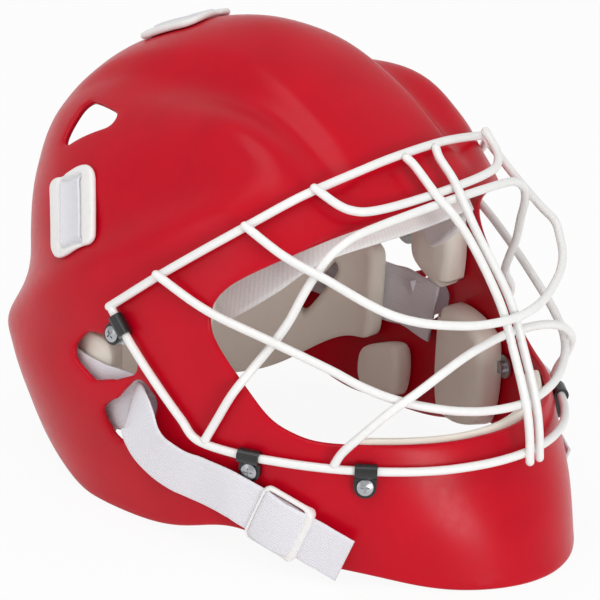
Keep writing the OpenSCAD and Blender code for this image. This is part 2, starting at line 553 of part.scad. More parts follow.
half = len(band_lean) - 1;
module nape_band() color(web_white) ribbon(path(band_path, 2), [for (i = [0:2 * half])
  i <= half ? band_lean[i] : [-band_lean[2 * half - i].x, band_lean[2 * half - i].y, band_lean[2
    * half - i].z]], band_w);

// Strap end: out of the vent, down over the shell, then straight through its slider
slide_at = [to_y(-86), jaw_z - 34];
slide_way = unit(beside(RIGHT, slide_at.x - 12, slide_at.y - 5, 0) - beside(RIGHT, slide_at.x + 12,
  slide_at.y + 5, 0));
slide_out = facing(RIGHT, slide_at.x, slide_at.y);
slider_t = 2 * slider_bar + web_t + 2 * clear;
slide_mid = beside(RIGHT, slide_at.x, slide_at.y, slider_t / 2 + clear + 0.6);
slide_across = cross(slide_out, slide_way);
slide_run = slider_l / 2 + 16;
TAIL = concat([for (p = [[14, 67, -band_depth + 0.4], [9, 68, -3], [4, 67, 1.6]]) [to_y(p.x), to_z(p.y),
  p.z]],
  [for (p = [[-6, 1], [-18, 8], [-30, 15.5], [-42, 21.5]]) [to_y(p.x), jaw_z - p.y, 2]]);
tail_points = concat([for (a = TAIL) beside(RIGHT, a.x, a.y, a.z)], [slide_mid - slide_run * slide_way,
  slide_mid - 0.5 * slide_run * slide_way, slide_mid + 0.5 * slide_run * slide_way, slide_mid
    + (slide_run + 8) * slide_way]);
tail_across = [for (i = [0:len(tail_points) - 1]) i < len(TAIL) ? unit([0, -0.32, 0] + wall_up(TAIL[i].x,
  TAIL[i].y)) : slide_across];
module strap_tail(side) color(web_white) on_side(side) ribbon(tail_points, tail_across, tail_w);
module slider(side) color(plastic_white) on_side(side)
  multmatrix([[slide_way.x, slide_across.x, slide_out.x, slide_mid.x], [slide_way.y, slide_across.y,
    slide_out.y, slide_mid.y],
    [slide_way.z, slide_across.z, slide_out.z, slide_mid.z], [0, 0, 0, 1]])
  difference() {
    translate([0, 0, -slider_t / 2]) linear_extrude(slider_t) offset(3) square([slider_l - 6, tail_w + 4
      + 2 * slider_bar - 6], center = true);
    cube([slider_l + 2, tail_w + 2 * clear, web_t + 2 * clear], center = true);
    for (x = [-1, 1]) translate([x * slider_l / 4, 0, 0]) cube([slider_l / 2 - 1.5 * slider_bar,
      tail_w - 2, slider_t + 2], center = true);
  }

// The flat plates stand this far off the curved shell at their middle
plate_lift = clear + max(0.6, side_rise);

// Strap plates with two slots, each with its webbing loop through plate and shell
module plate_body(side) multmatrix(plate_frame(side)) translate([0, 0, plate_lift]) difference() {
  linear_extrude(plate_t) offset(6) square([plate_w - 12, plate_h - 12], center = true);
  for (y = [-1, 1]) translate([0, y * slot_gap / 2, plate_t / 2]) cube([loop_w + 2 * clear, slot_h,
    plate_t + 2], center = true);
  translate([0, 0, plate_t]) cube([loop_w + 2 * clear, slot_gap, 2 * web_t], center = true);
}
loop_low = shell_wall + 2.2;
module plate_loop(side) {
  top = plate_lift + plate_t + clear;
  multmatrix(plate_frame(side)) rotate([90, 0, 90]) linear_extrude(loop_w, center = true) difference() {
    translate([-slot_gap / 2 - web_t / 2, -loop_low - web_t]) square([slot_gap + web_t, loop_low + web_t
      + top]);
    translate([-slot_gap / 2 + web_t / 2, -loop_low]) square([slot_gap - web_t, loop_low + top - web_t]);
  }
}
module strap_plate_right() color(plastic_white) plate_body(RIGHT);
module strap_plate_left() color(plastic_white) plate_body(LEFT);
module strap_plate_top() color(plastic_white) plate_body(0);
module plate_strap_right() color(web_white) plate_loop(RIGHT);
module plate_strap_left() color(web_white) plate_loop(LEFT);
module plate_strap_top() color(web_white) plate_loop(0);

shell();
rim_wire();
jaw_wire();
brow_wire();
eye_wire();
upper_wire();
lower_wire();
chin_wire();
centre_wire_right();
centre_wire_left();
cage_clips();
clip_screws();
tee_nuts();
brow_pad();
sweatband();
crown_pad();
temple_pad(RIGHT);  // temple_pad_right
temple_pad(LEFT);  // temple_pad_left
cheek_pad(RIGHT);  // cheek_pad_right
cheek_pad(LEFT);  // cheek_pad_left
ear_pad(RIGHT);  // ear_pad_right
ear_pad(LEFT);  // ear_pad_left
nape_cradle();
liner_pad(RIGHT);  // liner_pad_right
liner_pad(LEFT);  // liner_pad_left
chin_pad();
nape_band();
strap_tail(RIGHT);  // strap_tail_right
strap_tail(LEFT);  // strap_tail_left
slider(RIGHT);  // slider_right
slider(LEFT);  // slider_left
strap_plate_right();
strap_plate_left();
strap_plate_top();
plate_strap_right();
plate_strap_left();
plate_strap_top();
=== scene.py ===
"""Looks of the field hockey goalkeeper helmet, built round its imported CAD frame.

Everything is worked out in millimetres in the frame of the CAD part and turned to metres as a mesh is made:
+X is the wearer's left, -Y the face, +Z up.
"""
import math

import bpy
import numpy as np
from mathutils import Matrix, Vector
from mathutils.geometry import convex_hull_2d, delaunay_2d_cdt


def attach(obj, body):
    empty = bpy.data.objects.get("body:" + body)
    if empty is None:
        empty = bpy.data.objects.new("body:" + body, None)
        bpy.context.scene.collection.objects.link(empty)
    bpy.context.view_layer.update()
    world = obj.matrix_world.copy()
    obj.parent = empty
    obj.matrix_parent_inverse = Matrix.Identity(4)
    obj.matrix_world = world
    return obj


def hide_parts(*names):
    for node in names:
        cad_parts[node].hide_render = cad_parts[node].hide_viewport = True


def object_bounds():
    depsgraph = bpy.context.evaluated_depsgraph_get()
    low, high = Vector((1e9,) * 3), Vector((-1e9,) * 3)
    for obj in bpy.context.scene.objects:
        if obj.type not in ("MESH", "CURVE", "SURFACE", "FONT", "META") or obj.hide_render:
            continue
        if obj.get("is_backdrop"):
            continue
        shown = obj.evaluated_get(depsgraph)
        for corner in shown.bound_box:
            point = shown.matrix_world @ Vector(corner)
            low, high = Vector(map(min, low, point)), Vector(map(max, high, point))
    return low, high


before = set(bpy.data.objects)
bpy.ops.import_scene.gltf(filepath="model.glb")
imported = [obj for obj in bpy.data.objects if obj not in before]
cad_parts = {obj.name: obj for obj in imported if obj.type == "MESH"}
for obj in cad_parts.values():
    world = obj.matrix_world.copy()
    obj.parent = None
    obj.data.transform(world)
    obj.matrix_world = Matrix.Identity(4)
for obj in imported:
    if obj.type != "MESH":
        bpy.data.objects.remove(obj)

bl_info = {
    "name": "Goalkeeper Helmet",
    "version": (1, 0, 0),
    "blender": (4, 5, 0),
    "location": "View3D > Sidebar > Helmet",
    "description": "Builds the visual pieces of a field hockey goalkeeper helmet",
    "category": "Object",
}

MM = 0.001
RIGHT = 1
LEFT = -1
SIDES = ((RIGHT, "right"), (LEFT, "left"))
ROW = 0.87   # distance of rows over distance of points in a triangular lattice

# Stations of the shell from rim to crown, as shares of the main sizes:
# height, front reach, rear reach, half width, front squareness, rear squareness
STATIONS = np.array([
    [0.00, 1.00, 0.80, 0.91, 2.0, 2.4],
    [0.13, 0.945, 0.94, 0.965, 2.0, 2.5],
    [0.26, 0.855, 1.03, 1.00, 2.0, 2.6],
    [0.38, 0.77, 0.975, 0.985, 2.1, 2.6],
    [0.50, 0.69, 0.99, 0.955, 2.3, 2.5],
    [0.62, 0.60, 1.02, 0.89, 2.4, 2.4],
    [0.735, 0.495, 1.00, 0.79, 2.5, 2.25],
    [0.83, 0.34, 0.86, 0.635, 2.4, 2.1],
    [0.91, 0.18, 0.66, 0.44, 2.2, 2.0],
    [0.97, 0.01, 0.45, 0.24, 2.1, 2.0],
    [1.00, -0.18, 0.212, 0.00, 2.0, 2.0],
])
MID_Y = 20   # y of the middle of the shell's lower ovals

# Side view of the face opening, as y and z, from the brow round the cheek to the chin
FACE = np.array([[-150, 187.4], [-110, 187.1], [-93, 187], [-83, 182], [-69, 172], [-50, 158], [-40, 149],
                 [-35, 140], [-35, 132], [-40, 121], [-60, 99], [-74, 85], [-86, 79], [-100, 76], [-130, 77],
                 [-180, 77.8]], float)
# Vents of one side: the y and z of their corners, and the radius of these
VENTS = (([[104, 188], [106, 200], [81, 203]], 6),
         ([[48, 88], [42, 95], [14, 98], [13, 93], [36, 83]], 7),
         ([[22, 60], [3, 80], [-3, 76], [-2, 70], [16, 53]], 7))


def unit(v):
    """Vectors along the last axis, each divided by its length."""
    return v / np.maximum(np.linalg.norm(v, axis=-1, keepdims=True), 1e-12)


def smooth(v):
    """Cubic step: 0 below 0, 1 above 1, 3 v squared less 2 v cubed between."""
    s = np.clip(v, 0, 1)
    return s * s * (3 - 2 * s)


def bell(v, w):
    """Bell curve: e to the power of minus v squared over w squared."""
    return np.exp(-(v * v) / (w * w))


def mix(a, b, s):
    """Straight mix: a plus the share s of the way to b."""
    return a + (b - a) * s


def blend_points(a, b, c, d, t):
    """Catmull-Rom cubic through b at t = 0 and c at t = 1."""
    return b + t * (c - a + t * (2 * a - 5 * b + 4 * c - d + t * (3 * (b - c) + d - a))) / 2


def path(points, n):
    """Catmull-Rom curve through points, n steps between neighbours, the end tangents straight."""
    p = np.asarray(points, float)
    p = np.vstack([2 * p[0] - p[1], p, 2 * p[-1] - p[-2]])
    s = np.arange((len(p) - 3) * n) / n
    i = s.astype(int)
    t = (s - i)[:, None]
    return np.vstack([blend_points(p[i], p[i + 1], p[i + 2], p[i + 3], t), p[-2]])


def along(p):
    """Arc length from the start of a polyline to each of its points: the sum of the steps before it."""
    return np.concatenate([[0], np.cumsum(np.linalg.norm(np.diff(p, axis=0), axis=1))])


def read_off(w, s, q):
    """Rows of q, known at the lengths s, read at the lengths w on straight lines between them."""
    return np.column_stack([np.interp(w, s, c) for c in q.T])


def even(p, step, closed=False):
    """Polyline with its points moved to equal arc lengths near step."""
    q = np.vstack([p, p[:1]]) if closed else p
    s = along(q)
    n = max(3, int(round(s[-1] / step)))
    r = read_off(np.linspace(0, s[-1], n + 1), s, q)
    return r[:-1] if closed else r


def mirrored(p):
    """The same points on the wearer's other side, in reverse order."""
    return p[::-1] * [-1, 1, 1]


def whole(p):
    """A path that ends in the middle plane, carried on to the other side."""
    p = np.asarray(p, float)
    return np.vstack([p, mirrored(p[:-1])])


class ShellForm:
    """The outer skin of the shell: for an angle t round from the face, in degrees, and a level u from rim to
    crown, an oval of the interpolated station, squarer at the brow and nape, raised by the relief."""

    def __init__(self, s):
        self.h, self.w = s.shell_height / MM, s.shell_half_width / MM
        self.chin, self.rear = s.chin_reach / MM, s.rear_reach / MM
        self.wall, self.band, self.ridge = s.shell_wall / MM, s.band_rise / MM, s.ridge_rise / MM
        fold = np.array([1, -self.rear / self.chin, -self.chin / self.rear, -1, 1, 1])
        beyond = fold * STATIONS[-2][[0, 2, 1, 3, 4, 5]]
        self.rows = np.vstack([2 * STATIONS[0] - STATIONS[1], STATIONS, beyond])
        self.us = np.linspace(0, 1, 2001)
        self.zs = self.station(self.us, 0) * self.h
        self.heart = np.array([0, MID_Y, 0.44 * self.h])
        self.lay_disc()

    def station(self, u, k):
        """Column k of the station table at level u, on a Catmull-Rom curve."""
        s = np.asarray(u, float) * (len(STATIONS) - 1)
        i = np.clip(np.floor(s).astype(int), 0, len(STATIONS) - 2)
        r = self.rows[:, k]
        return blend_points(r[i], r[i + 1], r[i + 2], r[i + 3], s - i)

    def reach(self, u):
        """Reach of the oval at level u to the front and to the rear, and the y of its middle."""
        f, b = self.station(u, 1) * self.chin, self.station(u, 2) * self.rear
        return f, b, mix(MID_Y, (b - f) / 2, smooth((u - 0.8) / 0.2))

    def skin(self, t, u):
        """Oval at level u: half width by the sine of t and reach by its cosine, each to the power of 2 over
        the squareness, then raised by the relief away from the shell's heart."""
        t, u = np.broadcast_arrays(np.asarray(t, float), np.asarray(u, float))
        f, b, c = self.reach(u)
        ct, st = np.cos(np.radians(t)), np.sin(np.radians(t))
        e = 2 / np.where(ct > 0, self.station(u, 4), self.station(u, 5))
        x = -self.station(u, 3) * self.w * np.sign(st) * np.abs(st) ** e
        y = c - np.where(ct > 0, f + c, b - c) * np.sign(ct) * np.abs(ct) ** e
        p = np.stack([x, y, self.station(u, 0) * self.h], -1)
        return p + self.relief(p)[..., None] * unit(p - self.heart)

    def relief(self, p):
        """Raised crown band with a crease at each side, swollen temples and the ridge from nape to brow."""
        x, y, z = np.abs(p[..., 0]), p[..., 1], p[..., 2]
        top = smooth((z - 0.72 * self.h) / 40)
        band = self.band * top * (1 - smooth((x - 34) / 16))
        crease = -1.2 * self.band * top * bell(x - 52, 13) * (1 - smooth((y - 50) / 50))
        temple = 11 * bell(x - 70, 20) * bell(y + 20, 46) * bell(z - 0.86 * self.h, 24)
        s = z - (0.555 * self.h - 0.68 * (y - 42))
        ridge = self.ridge * smooth((x - 60) / 40) * (bell(s, 13) - 0.8 * bell(s - 30, 18))
        return band + crease + temple + ridge

    def normal(self, t, u):
        """Outward direction: the cross product of a small step up and a small step round."""
        rise = self.skin(t, u + 0.006) - self.skin(t, u - 0.006)
        return unit(np.cross(rise, self.skin(t + 1.5, u) - self.skin(t - 1.5, u)))

    def out(self, t, u, d):
        """Point of the skin moved out by d along the normal."""
        t, u, d = [np.asarray(v, float) for v in (t, u, d)]
        return self.skin(t, u) + d[..., None] * self.normal(t, u)

    def level(self, z):
        """Level at which the plain oval has a height."""
        return np.interp(z, self.zs, self.us)

    def at(self, t, z, d):
        """Point at an angle and a height, moved out by d."""
        return self.out(t, self.level(z), d)

    def angle(self, y, z):
        """Angle at which the plain oval passes a given y on the wearer's right."""
        u = self.level(z)
        f, b, c = self.reach(u)
        front = y < c
        n = np.where(front, self.station(u, 4), self.station(u, 5))
        s = np.clip(np.where(front, (c - y) / (f + c), (y - c) / (b - c)), 0, 1)
        a = np.degrees(np.arccos(s ** (n / 2)))
        return np.where(front, a, 180 - a)

    def beside(self, side, y, z, d):
        """Point of one side at a y and a height, moved out by d."""
        y, z, d = np.broadcast_arrays(np.asarray(y, float), np.asarray(z, float), np.asarray(d, float))
        return self.at(self.angle(y, z), z, d) * [side, 1, 1]

    def facing(self, side, y, z):
        """Outward direction on one side at a y and a height."""
        y, z = np.asarray(y, float), np.asarray(z, float)
        return self.normal(self.angle(y, z), self.level(z)) * [side, 1, 1]

    def rim_z(self, t):
        """Height of the rim: flat at the chin and the ear lobes, arched at the jaw, rising to the nape."""
        a = np.abs((np.asarray(t, float) + 180) % 360 - 180)
        return 16 * bell(a - 67, 11) + 4.8 * bell(a - 46, 12) + 32 * smooth((a - 100) / 45)

    def lay_disc(self):
        """Table from level to radius on a flat disc, so that t and radius cover the shell without a pole.
        The radius grows with arc length at the rate that keeps the ring's scale equal both ways."""
        self.du = np.linspace(1, -0.12, 900)
        self.arc = arc = along(self.skin(90, self.du))
        rings = self.skin(np.linspace(0, 360, 145)[None], self.du[:, None])
        self.girth = np.linalg.norm(np.diff(rings, axis=1), axis=2).sum(1)
        # The first rows, at the pole, keep their arc length as radius
        k = 4
        rate = 2 * math.pi / self.girth[k:]
        grow = np.concatenate([[0], np.cumsum((rate[1:] + rate[:-1]) / 2 * np.diff(arc[k:]))])
        self.dr = np.concatenate([arc[:k], arc[k] * np.exp(grow)])

    def to_disc(self, t, u):
        """Place on the disc of an angle and a level."""
        r = np.interp(-u, -self.du, self.dr)
        return np.stack([r * np.cos(np.radians(t)), r * np.sin(np.radians(t))], -1)

    def place(self, q, depth=0.0):
        """Point of the skin at a place on the disc, moved in along the normal by depth."""
        def lift(v):
            """Point of the skin over a place on the disc."""
            r = np.hypot(v[:, 0], v[:, 1])
            return self.skin(np.degrees(np.arctan2(v[:, 1], v[:, 0])), np.interp(r, self.dr, self.du))
        p = lift(q)
        e = 0.004 * np.hypot(q[:, 0], q[:, 1])[:, None] + 0.3
        steps = [lift(q + e * way) - lift(q - e * way) for way in (np.array([1, 0]), np.array([0, 1]))]
        n = unit(np.cross(steps[0], steps[1]))
        n *= np.sign((n * (p - self.heart)).sum(-1, keepdims=True))
        return p - n * np.asarray(depth, float)[..., None]

    def trace(self, axis, sign, a, z, t):
        """Angle and level where the skin passes points seen along an axis: the skin is sampled round t at
        each point's height, and the crossing is read off that line. Points beyond the skin are left out."""
        zc = np.repeat(z[:, None], len(t), 1)
        for _ in range(4):
            p = self.skin(t[None], self.level(zc))
            zc = zc + z[:, None] - p[..., 2]
        line = sign * p[..., axis]
        i = (line < a[:, None]).sum(1)
        ok = (i > 0) & (i < len(t))
        i, k = i[ok], np.nonzero(ok)[0]
        s = (a[ok] - line[k, i - 1]) / (line[k, i] - line[k, i - 1])
        return mix(t[i - 1], t[i], s), self.level(mix(zc[k, i - 1], zc[k, i], s))


def inside(points, loop):
    """Crossing-number test of many points against one closed loop."""
    a, b = loop, np.roll(loop, -1, 0)
    hit = np.zeros(len(points), bool)
    for k in range(0, len(points), 4000):
        p = points[k:k + 4000, None]
        cross = (a[:, 1] > p[..., 1]) != (b[:, 1] > p[..., 1])
        drop = np.where(a[:, 1] == b[:, 1], 1e-9, b[:, 1] - a[:, 1])
        x = a[:, 0] + (p[..., 1] - a[:, 1]) / drop * (b[:, 0] - a[:, 0])
        hit[k:k + 4000] = (cross & (p[..., 0] < x)).sum(1) % 2 == 1
    return hit


def counterclockwise(loop):
    """The loop, turned round unless its signed area is above zero."""
    nxt = np.roll(loop, -1, 0)
    return loop if (loop[:, 0] * nxt[:, 1] - loop[:, 1] * nxt[:, 0]).sum() > 0 else loop[::-1]


def outward(loop):
    """Outward direction at each point of a closed counterclockwise loop."""
    t = unit(np.roll(loop, -1, 0) - np.roll(loop, 1, 0))
    return np.stack([t[:, 1], -t[:, 0]], -1)


def shifted(loop, d):
    """Closed counterclockwise loop moved outward by d."""
    return loop + d * outward(loop)


def hull(q):
    """Corners of the convex hull of flat points."""
    return q[convex_hull_2d([Vector(v) for v in q.tolist()])]


def rounded(loop, passes):
    """Closed loop smoothed by averaging each point with its neighbours."""
    for _ in range(passes):
        loop = (np.roll(loop, 1, 0) + 2 * loop + np.roll(loop, -1, 0)) / 4
    return loop


def net(outer, holes, seeds, near):
    """Triangles of a flat domain with holes: the loops are kept as edges, seeds fill the middle."""
    loops = [counterclockwise(outer)] + [counterclockwise(h) for h in holes]
    rim = np.vstack(loops)
    keep = np.ones(len(seeds), bool)
    for k in range(0, len(seeds), 2000):
        d = seeds[k:k + 2000, None] - rim[None]
        keep[k:k + 2000] = (d ** 2).sum(-1).min(1) > near[k:k + 2000] ** 2
    seeds = seeds[keep]
    seeds = seeds[inside(seeds, loops[0])]
    q = np.vstack([rim, seeds])
    edges = []
    start = 0
    for loop in loops:
        i = np.arange(len(loop)) + start
        edges += np.stack([i, np.roll(i, -1)], -1).tolist()
        start += len(loop)
    made = delaunay_2d_cdt([Vector(v) for v in q.tolist()], edges, [], 0, 1e-7)
    q2 = np.array([tuple(v) for v in made[0]])
    tri = np.array(made[2])
    source = {old: new for new, olds in enumerate(made[3]) for old in olds}
    c = q2[tri].mean(1)
    good = inside(c, loops[0])
    for h in loops[1:]:
        good &= ~inside(c, h)
    tri = tri[good]
    a, b, c = q2[tri[:, 0]], q2[tri[:, 1]], q2[tri[:, 2]]
    turn = (b - a)[:, 0] * (c - a)[:, 1] - (b - a)[:, 1] * (c - a)[:, 0] < 0
    tri[turn] = tri[turn][:, ::-1]
    rings, start = [], 0
    for loop in loops:
        rings.append(np.array([source[i] for i in range(start, start + len(loop))]))
        start += len(loop)
    return q2, tri, rings


def slab(front, back, outer, holes, seeds, near, lip):
    """Closed piece of a given thickness: a front and a back sheet over one flat domain, joined round every
    loop by a lip. The lip is a profile of outward distance and depth share, carried along the loop."""
    q, tri, rings = net(outer, holes, seeds, near)
    a, b = front(q), back(q)
    n = len(q)
    points, quads = [a, b], []
    total = 2 * n
    e = 0.002 * np.abs(np.ptp(q, axis=0)).max()
    for k, ring in enumerate(rings):
        loop = q[ring]
        way = outward(loop) * (1 if k == 0 else -1)
        thick = unit(a[ring] - b[ring])
        run = unit(np.roll(a[ring], -1, 0) - np.roll(a[ring], 1, 0))
        out = front(loop + e * way) - front(loop - e * way)
        for other in (thick, run):
            out -= other * (out * other).sum(-1, keepdims=True)
        out = unit(out)
        rows = [ring]
        for w, s in lip:
            points.append(mix(a[ring], b[ring], s) + w * out)
            rows.append(np.arange(len(ring)) + total)
            total += len(ring)
        rows.append(ring + n)
        for r0, r1 in zip(rows[:-1], rows[1:]):
            quad = np.stack([r0, r1, np.roll(r1, -1), np.roll(r0, -1)], -1)
            quads.append(quad if k == 0 else quad[:, ::-1])
    return np.vstack(points), [np.vstack([tri, tri[:, ::-1] + n]), np.vstack(quads)]


def hexagons(lo, hi, h):
    """Points of a triangular lattice of step h in a box."""
    rows = np.arange(lo[1], hi[1] + h, h * ROW)
    cols = np.arange(lo[0], hi[0] + h, h)
    x, y = np.meshgrid(cols, rows)
    x = x + 0.5 * h * (np.arange(len(rows)) % 2)[:, None]
    return np.stack([x.ravel(), y.ravel()], -1)


def sheet(front, back, loop, holes, h, near, lip):
    """Slab over a loop filled with a lattice of step h, whose points stay near off the edges."""
    seeds = hexagons(loop.min(0), loop.max(0), h)
    return slab(front, back, loop, holes, seeds, np.full(len(seeds), near), lip)


def half_round(r, n=5):
    """Lip profile: a half circle of radius r from the front edge to the back edge."""
    a = np.linspace(0, math.pi, n + 2)[1:-1]
    return [(r * math.sin(v), (1 - math.cos(v)) / 2) for v in a]


def soft_edge(r, t, n=5):
    """Lip profile of cut and rolled foam: a quarter circle at the front, then a straight side to the back."""
    a = np.linspace(0, math.pi / 2, n + 1)[1:]
    side = [(r * math.sin(v), r * (1 - math.cos(v)) / t) for v in a]
    return side + [(r, 0.62), (r, 0.9), (r * 0.8, 0.98)]


def tube(p, r, sides=16):
    """Round bar: a circle of radius r carried along the path, each end closed by a half ball."""
    d = unit(np.gradient(p, axis=0))
    lean = [0.31, 0.17, 0.94]
    ref = np.where(np.abs(d @ lean)[:, None] > 0.93, [1.0, 0, 0], lean)
    e1 = unit(np.cross(d, ref))
    e2 = np.cross(d, e1)
    cap = np.radians([82, 60, 38, 18])
    i = np.concatenate([np.zeros(4, int), np.arange(len(p)), np.full(4, len(p) - 1)])
    slide = np.concatenate([-r * np.sin(cap), np.zeros(len(p)), r * np.sin(cap[::-1])])
    scale = np.concatenate([np.cos(cap), np.ones(len(p)), np.cos(cap[::-1])])
    a = 2 * math.pi * np.arange(sides) / sides
    circle = np.cos(a)[None, :, None] * e1[i][:, None] + np.sin(a)[None, :, None] * e2[i][:, None]
    middle = p[i][:, None] + slide[:, None, None] * d[i][:, None]
    return grid_faces(middle + r * scale[:, None, None] * circle)


def grid_faces(g):
    """Points and faces of a grid whose second direction is closed, with its two end rings filled."""
    m, s = g.shape[:2]
    idx = np.arange(m * s).reshape(m, s)
    near, far = idx[:-1], idx[1:]
    quads = np.stack([near, np.roll(near, -1, 1), np.roll(far, -1, 1), far], -1).reshape(-1, 4)
    ends = np.vstack([g[0].mean(0), g[-1].mean(0)])
    k = m * s
    first = np.stack([np.roll(idx[0], -1), idx[0], np.full(s, k)], -1)
    last = np.stack([idx[-1], np.roll(idx[-1], -1), np.full(s, k + 1)], -1)
    return np.vstack([g.reshape(-1, 3), ends]), [quads, np.vstack([first, last])]


def strap(p, across, w, t, waves, seed, arch=0.0):
    """Flat webbing: a rounded rectangle carried along the path, its width along across. The edges wander a
    little. Returns the points, faces and the place of each point across and along, for the weave."""
    p, across = np.asarray(p, float), np.asarray(across, float)
    s = along(p)
    n = max(8, int(s[-1] / WEB_STEP))
    v = np.linspace(0, s[-1], n + 1)
    p, across = read_off(v, s, p), read_off(v, s, across)
    d = unit(np.gradient(p, axis=0))
    up = unit(np.cross(d, across))
    wide = np.cross(up, d)
    # The section goes round once, as shares of width and thickness
    half = np.linspace(-0.47, 0.47, 17)
    edge = 0.5 - 0.03 * (1 - np.cos(np.linspace(0, math.pi / 2, 4)))
    x = np.concatenate([half, edge[::-1][1:-1], [0.5], edge[1:-1],
                        half[::-1], -edge[::-1][1:-1], [-0.5], -edge[1:-1]])
    top, turn = np.full(17, 0.5), np.array([0.42, 0.25, 0.0, -0.25, -0.42])
    y = np.concatenate([top, turn, -top, -turn])
    ph = np.random.default_rng(seed).uniform(0, 6.28, 6)
    wob = waves * (np.sin(v / 5.3 + ph[0]) + 0.7 * np.sin(v / 2.9 + ph[1]) + 0.4 * np.sin(v / 1.7 + ph[2]))
    sway = np.sin(v / 9.1 + ph[3])[:, None] * x[None] * 1.6
    buckle = waves * (sway + 0.6 * np.sin(v / 6.3 + ph[4])[:, None])
    width = w * x[None] + wob[:, None] * x[None]
    rise = t * y[None] + buckle + arch * (1 - 4 * x[None] ** 2)
    g = p[:, None] + width[..., None] * wide[:, None] + rise[..., None] * up[:, None]
    uv = np.stack(np.broadcast_arrays(w * x[None], v[:, None]), -1).reshape(-1, 2)
    points, faces = grid_faces(g)
    return points, faces, np.vstack([uv, [[0, 0], [0, v[-1]]]])


def make(name, points, faces, material, stands_for=(), body="helmet", uv=None):
    """Mesh object in metres, with its faces turned outward by the sign of its volume."""
    vol = 0.0
    for f in faces:
        a, b, c = points[f[:, 0]], points[f[:, 1]], points[f[:, 2]]
        vol += (a * np.cross(b, c)).sum()
        if f.shape[1] == 4:
            vol += (a * np.cross(c, points[f[:, 3]])).sum()
    rows = [r for f in faces for r in (f[:, ::-1] if vol < 0 else f).tolist()]
    mesh = bpy.data.meshes.new(name)
    mesh.from_pydata((points * MM).tolist(), [], rows)
    mesh.validate()
    mesh.polygons.foreach_set("use_smooth", np.ones(len(mesh.polygons), bool))
    if uv is not None:
        layer = mesh.uv_layers.new(name="weave")
        idx = np.zeros(len(mesh.loops), int)
        mesh.loops.foreach_get("vertex_index", idx)
        layer.data.foreach_set("uv", (uv[idx] / 100).ravel())
    mesh.update()
    mesh.materials.append(material)
    obj = bpy.data.objects.new(name, mesh)
    bpy.context.scene.collection.objects.link(obj)
    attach(obj, body)
    if stands_for:
        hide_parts(*stands_for)
    return obj


def srgb(code):
    """Linear colour of a hex sRGB value."""
    v = np.array([int(code[i:i + 2], 16) for i in (1, 3, 5)]) / 255
    lin = np.where(v <= 0.04045, v / 12.92, ((v + 0.055) / 1.055) ** 2.4)
    return (*lin.tolist(), 1.0)


def add(tree, kind, inputs=None, **settings):
    """Node with its settings, its input values and its links."""
    node = tree.nodes.new(kind)
    for key, value in settings.items():
        setattr(node, key, value)
    for key, value in (inputs or {}).items():
        if isinstance(value, bpy.types.NodeSocket):
            tree.links.new(value, node.inputs[key])
        else:
            node.inputs[key].default_value = value
    return node


def finish(name, build):
    """Material of a name, made once: build takes its node tree and gives the output of its shader."""
    mat = bpy.data.materials.get(name)
    if mat is None:
        mat = bpy.data.materials.new(name)
        mat.use_nodes = True
        tree = mat.node_tree
        tree.nodes.clear()
        out = add(tree, "ShaderNodeOutputMaterial")
        tree.links.new(build(tree), out.inputs[0])
    return mat


def surface(tree, colour, roughness, height, strength, distance, more):
    """Shader of a colour and roughness, with a bump from the height field and any more inputs."""
    bump = add(tree, "ShaderNodeBump", {"Height": height, "Strength": strength, "Distance": distance})
    inputs = {"Base Color": colour, "Roughness": roughness, "Normal": bump.outputs[0], **more}
    return add(tree, "ShaderNodeBsdfPrincipled", inputs).outputs[0]


def place_on(tree):
    """Place on the object, in metres."""
    return add(tree, "ShaderNodeTexCoord").outputs["Object"]


def noise(tree, at, scale, detail, roughness=0.5):
    """Fractal noise, its scale in waves a metre."""
    inputs = {"Vector": at, "Scale": scale, "Detail": detail, "Roughness": roughness}
    return add(tree, "ShaderNodeTexNoise", inputs).outputs[0]


def bands(tree, way, scale, distortion, detail, detail_scale=1.0):
    """Bands on the weave map: a wave of scale s repeats every 100 / (s * 3.18) mm."""
    weave = add(tree, "ShaderNodeUVMap", uv_map="weave").outputs[0]
    inputs = {"Vector": weave, "Scale": scale, "Distortion": distortion, "Detail": detail,
              "Detail Scale": detail_scale}
    return add(tree, "ShaderNodeTexWave", inputs, wave_type="BANDS", bands_direction=way).outputs[1]


def calc(tree, operation, *values):
    """Result of one operation on the values."""
    return add(tree, "ShaderNodeMath", dict(enumerate(values)), operation=operation).outputs[0]


def shade(colour, share):
    """The three parts of a colour times a share, none above 1."""
    return (*[min(1, v * share) for v in colour[:3]], 1)


def tone(tree, fac, low, high, c0, c1):
    """Colour that runs from c0 to c1 as fac goes from low to high."""
    ramp = add(tree, "ShaderNodeMapRange", {"Value": fac, "From Min": low, "From Max": high})
    return add(tree, "ShaderNodeMix", {0: ramp.outputs[0], 6: c0, 7: c1}, data_type="RGBA").outputs[2]


def shell_finish():
    """Moulded polyethylene with a satin skin: the mould's fine grain blurs the highlight, and the pigment
    clouds a little."""
    def build(tree):
        """Clouds about 30 mm across, and grain about 1.5 mm, coarse enough to show."""
        red = finishes().shell
        at = place_on(tree)
        cloud = noise(tree, at, 34.0, 4.0, 0.55)
        grain = noise(tree, at, 620.0, 2.0)
        dust = noise(tree, at, 190.0, 5.0, 0.7)
        colour = tone(tree, cloud, 0.3, 0.72, shade(red, 0.93), shade(red, 1.05))
        rough = add(tree, "ShaderNodeMapRange", {"Value": dust, "From Min": 0.35, "From Max": 0.7,
                                                 "To Min": 0.28, "To Max": 0.36})
        return surface(tree, colour, rough.outputs[0], grain, 0.12, 0.0002,
                       {"IOR": 1.5, "Specular IOR Level": 0.2})
    return finish("moulded polyethylene red", build)


